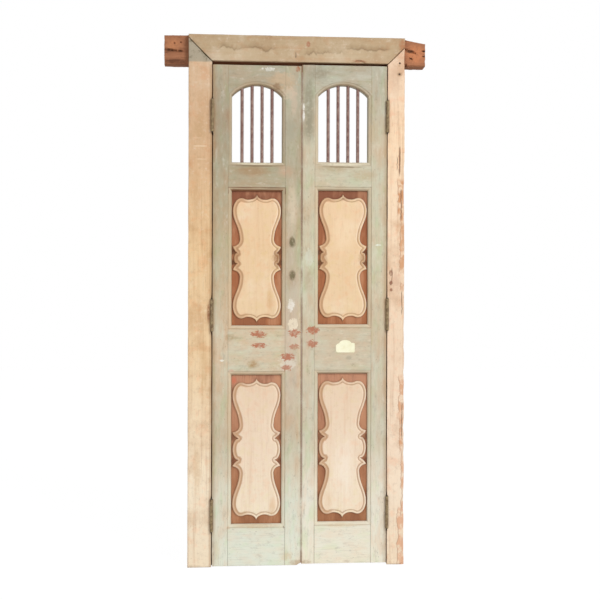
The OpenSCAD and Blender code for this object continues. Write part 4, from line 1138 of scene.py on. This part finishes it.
def build_leaf(side, tree):
    body = side + "_leaf"
    planes = (FRONT, LEAF_BACK)
    stile_paint, rail_paint = {"left": (LEFT_STILE_PAINT, LEFT_RAIL_PAINT),
                               "right": (RIGHT_STILE_PAINT, RIGHT_RAIL_PAINT)}[side]
    for stile in STILES:
        damage = {"left_hinge_stile": nick_hinge_edge, "left_meeting_stile": close_meeting,
                  "right_meeting_stile": close_meeting}.get(f"{side}_{stile}")
        worn_member(f"{side}_{stile}", body, stile_paint, "leaf_wood", axis=2, planes=planes, edge=0.9 * MM,
                    depth=0.5 * MM, damage=damage, joined=[f"{side}_{rail}" for rail in RAILS])
    for rail in RAILS:
        worn_member(f"{side}_{rail}", body, rail_paint, "leaf_wood", axis=0, planes=planes, edge=0.9 * MM,
                    depth=0.5 * MM, joined=[f"{side}_{stile}" for stile in STILES])
    for panel in ("lower_panel", "upper_panel"):
        carved_panel(f"{side}_{panel}", body)
    window_bars(side, tree)


def build_frame():
    planes = (FRONT, HORN_FACE, FRAME_BACK)
    worn_member("left_jamb", "frame", LEFT_JAMB_WOOD, "frame_wood", axis=2, planes=planes,
                edge=2.0 * MM, depth=1.2 * MM, damage=swell_doorway)
    worn_member("right_jamb", "frame", RIGHT_JAMB_WOOD, "frame_wood", axis=2, planes=planes,
                edge=2.0 * MM, depth=1.6 * MM, step=25 * MM, damage=weather_right_jamb)
    worn_member("head", "frame", HEAD_WOOD, "frame_wood", axis=0, planes=planes,
                edge=2.0 * MM, depth=1.2 * MM, damage=split_horns, sharp=60)


def dress_ironwork():
    """The hinges, screws and pegs keep their CAD shapes and take their finish."""
    for name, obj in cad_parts.items():
        finish = {"flange": HINGE_IRON, "pin": PIN_IRON, "screws": SCREW_IRON,
                  "pegs": PEG_WOOD}.get(name.split("_")[-1])
        if finish:
            obj.data.materials.clear()
            obj.data.materials.append(finish)


# Studio

def build_studio():
    """White surroundings: a sky dimmer than the camera sees it, a pale floor, a key lamp and a low fill."""
    scene = bpy.context.scene
    scene.view_settings.view_transform = "Standard"
    world = bpy.data.worlds.new("studio")
    scene.world = world
    world.use_nodes = True
    world.node_tree.nodes.clear()
    recipe = Recipe(world.node_tree)
    seen = recipe.node("ShaderNodeLightPath").outputs["Is Camera Ray"]
    strength = recipe.node("ShaderNodeMapRange", {"Value": seen, "To Min": 0.31, "To Max": 1.0}).outputs[0]
    sky = recipe.node("ShaderNodeBackground",
                      {"Color": (1.0, 1.0, 1.0, 1.0), "Strength": strength}).outputs[0]
    recipe.node("ShaderNodeOutputWorld", {"Surface": sky})

    floor_mesh = bpy.data.meshes.new("floor")
    half = 12.0
    floor_mesh.from_pydata([(-half, -half, 0), (half, -half, 0), (half, half, 0), (-half, half, 0)], [],
                           [(0, 1, 2, 3)])
    floor = bpy.data.objects.new("floor", floor_mesh)
    bpy.context.collection.objects.link(floor)
    material, recipe, _ = new_finish("pale floor")
    matt = recipe.node("ShaderNodeBsdfDiffuse", {"Color": (0.92, 0.92, 0.92, 1.0)}).outputs[0]
    glow = recipe.node("ShaderNodeEmission", {"Color": (1.0, 1.0, 1.0, 1.0), "Strength": 1.08}).outputs[0]
    seen = recipe.node("ShaderNodeLightPath").outputs["Is Camera Ray"]
    share = recipe.times(seen, 0.9)
    mixed = recipe.node("ShaderNodeMixShader", {0: share, 1: matt, 2: glow}).outputs[0]
    recipe.node("ShaderNodeOutputMaterial", {"Surface": mixed})
    floor_mesh.materials.append(material)

    for name, place, size, power in (("key panel", (3.0, -4.6, 4.4), 2.0, 207.0),
                                     ("low fill", (-1.0, -3.4, 0.45), 0.8, 26.0)):
        lamp = bpy.data.lights.new(name, "AREA")
        lamp.size = size
        lamp.energy = power
        holder = bpy.data.objects.new(name, lamp)
        holder.location = place
        aim = Vector((0.0, 0.0, 1.05)) - Vector(place)
        holder.rotation_euler = aim.to_track_quat("-Z", "Y").to_euler()
        bpy.context.collection.objects.link(holder)


def set_camera():
    """Close to the photographer's stand: left of the middle, at half height, 4.3 m off, slightly rolled."""
    aim = Vector((0.017, FRONT, 1.064))
    away, view_width, yaw, roll = 4.3, 2.4, math.radians(4.4), math.radians(0.15)
    camera = bpy.data.cameras.new("camera")
    camera.sensor_width = 36.0
    camera.lens = camera.sensor_width * away / view_width
    holder = bpy.data.objects.new("camera", camera)
    holder.location = aim + Vector((-math.sin(yaw), -math.cos(yaw), 0.0)) * away
    turn = (aim - holder.location).to_track_quat("-Z", "Y").to_matrix().to_4x4()
    holder.rotation_euler = (turn @ Matrix.Rotation(roll, 4, "Z")).to_euler()
    bpy.context.collection.objects.link(holder)
    bpy.context.scene.camera = holder


set_camera()
BARS = bars_tree()
for SIDE in SIDES:
    build_leaf(SIDE, BARS)
build_frame()
dress_ironwork()
paper_label()
jamb_nails()
build_studio()
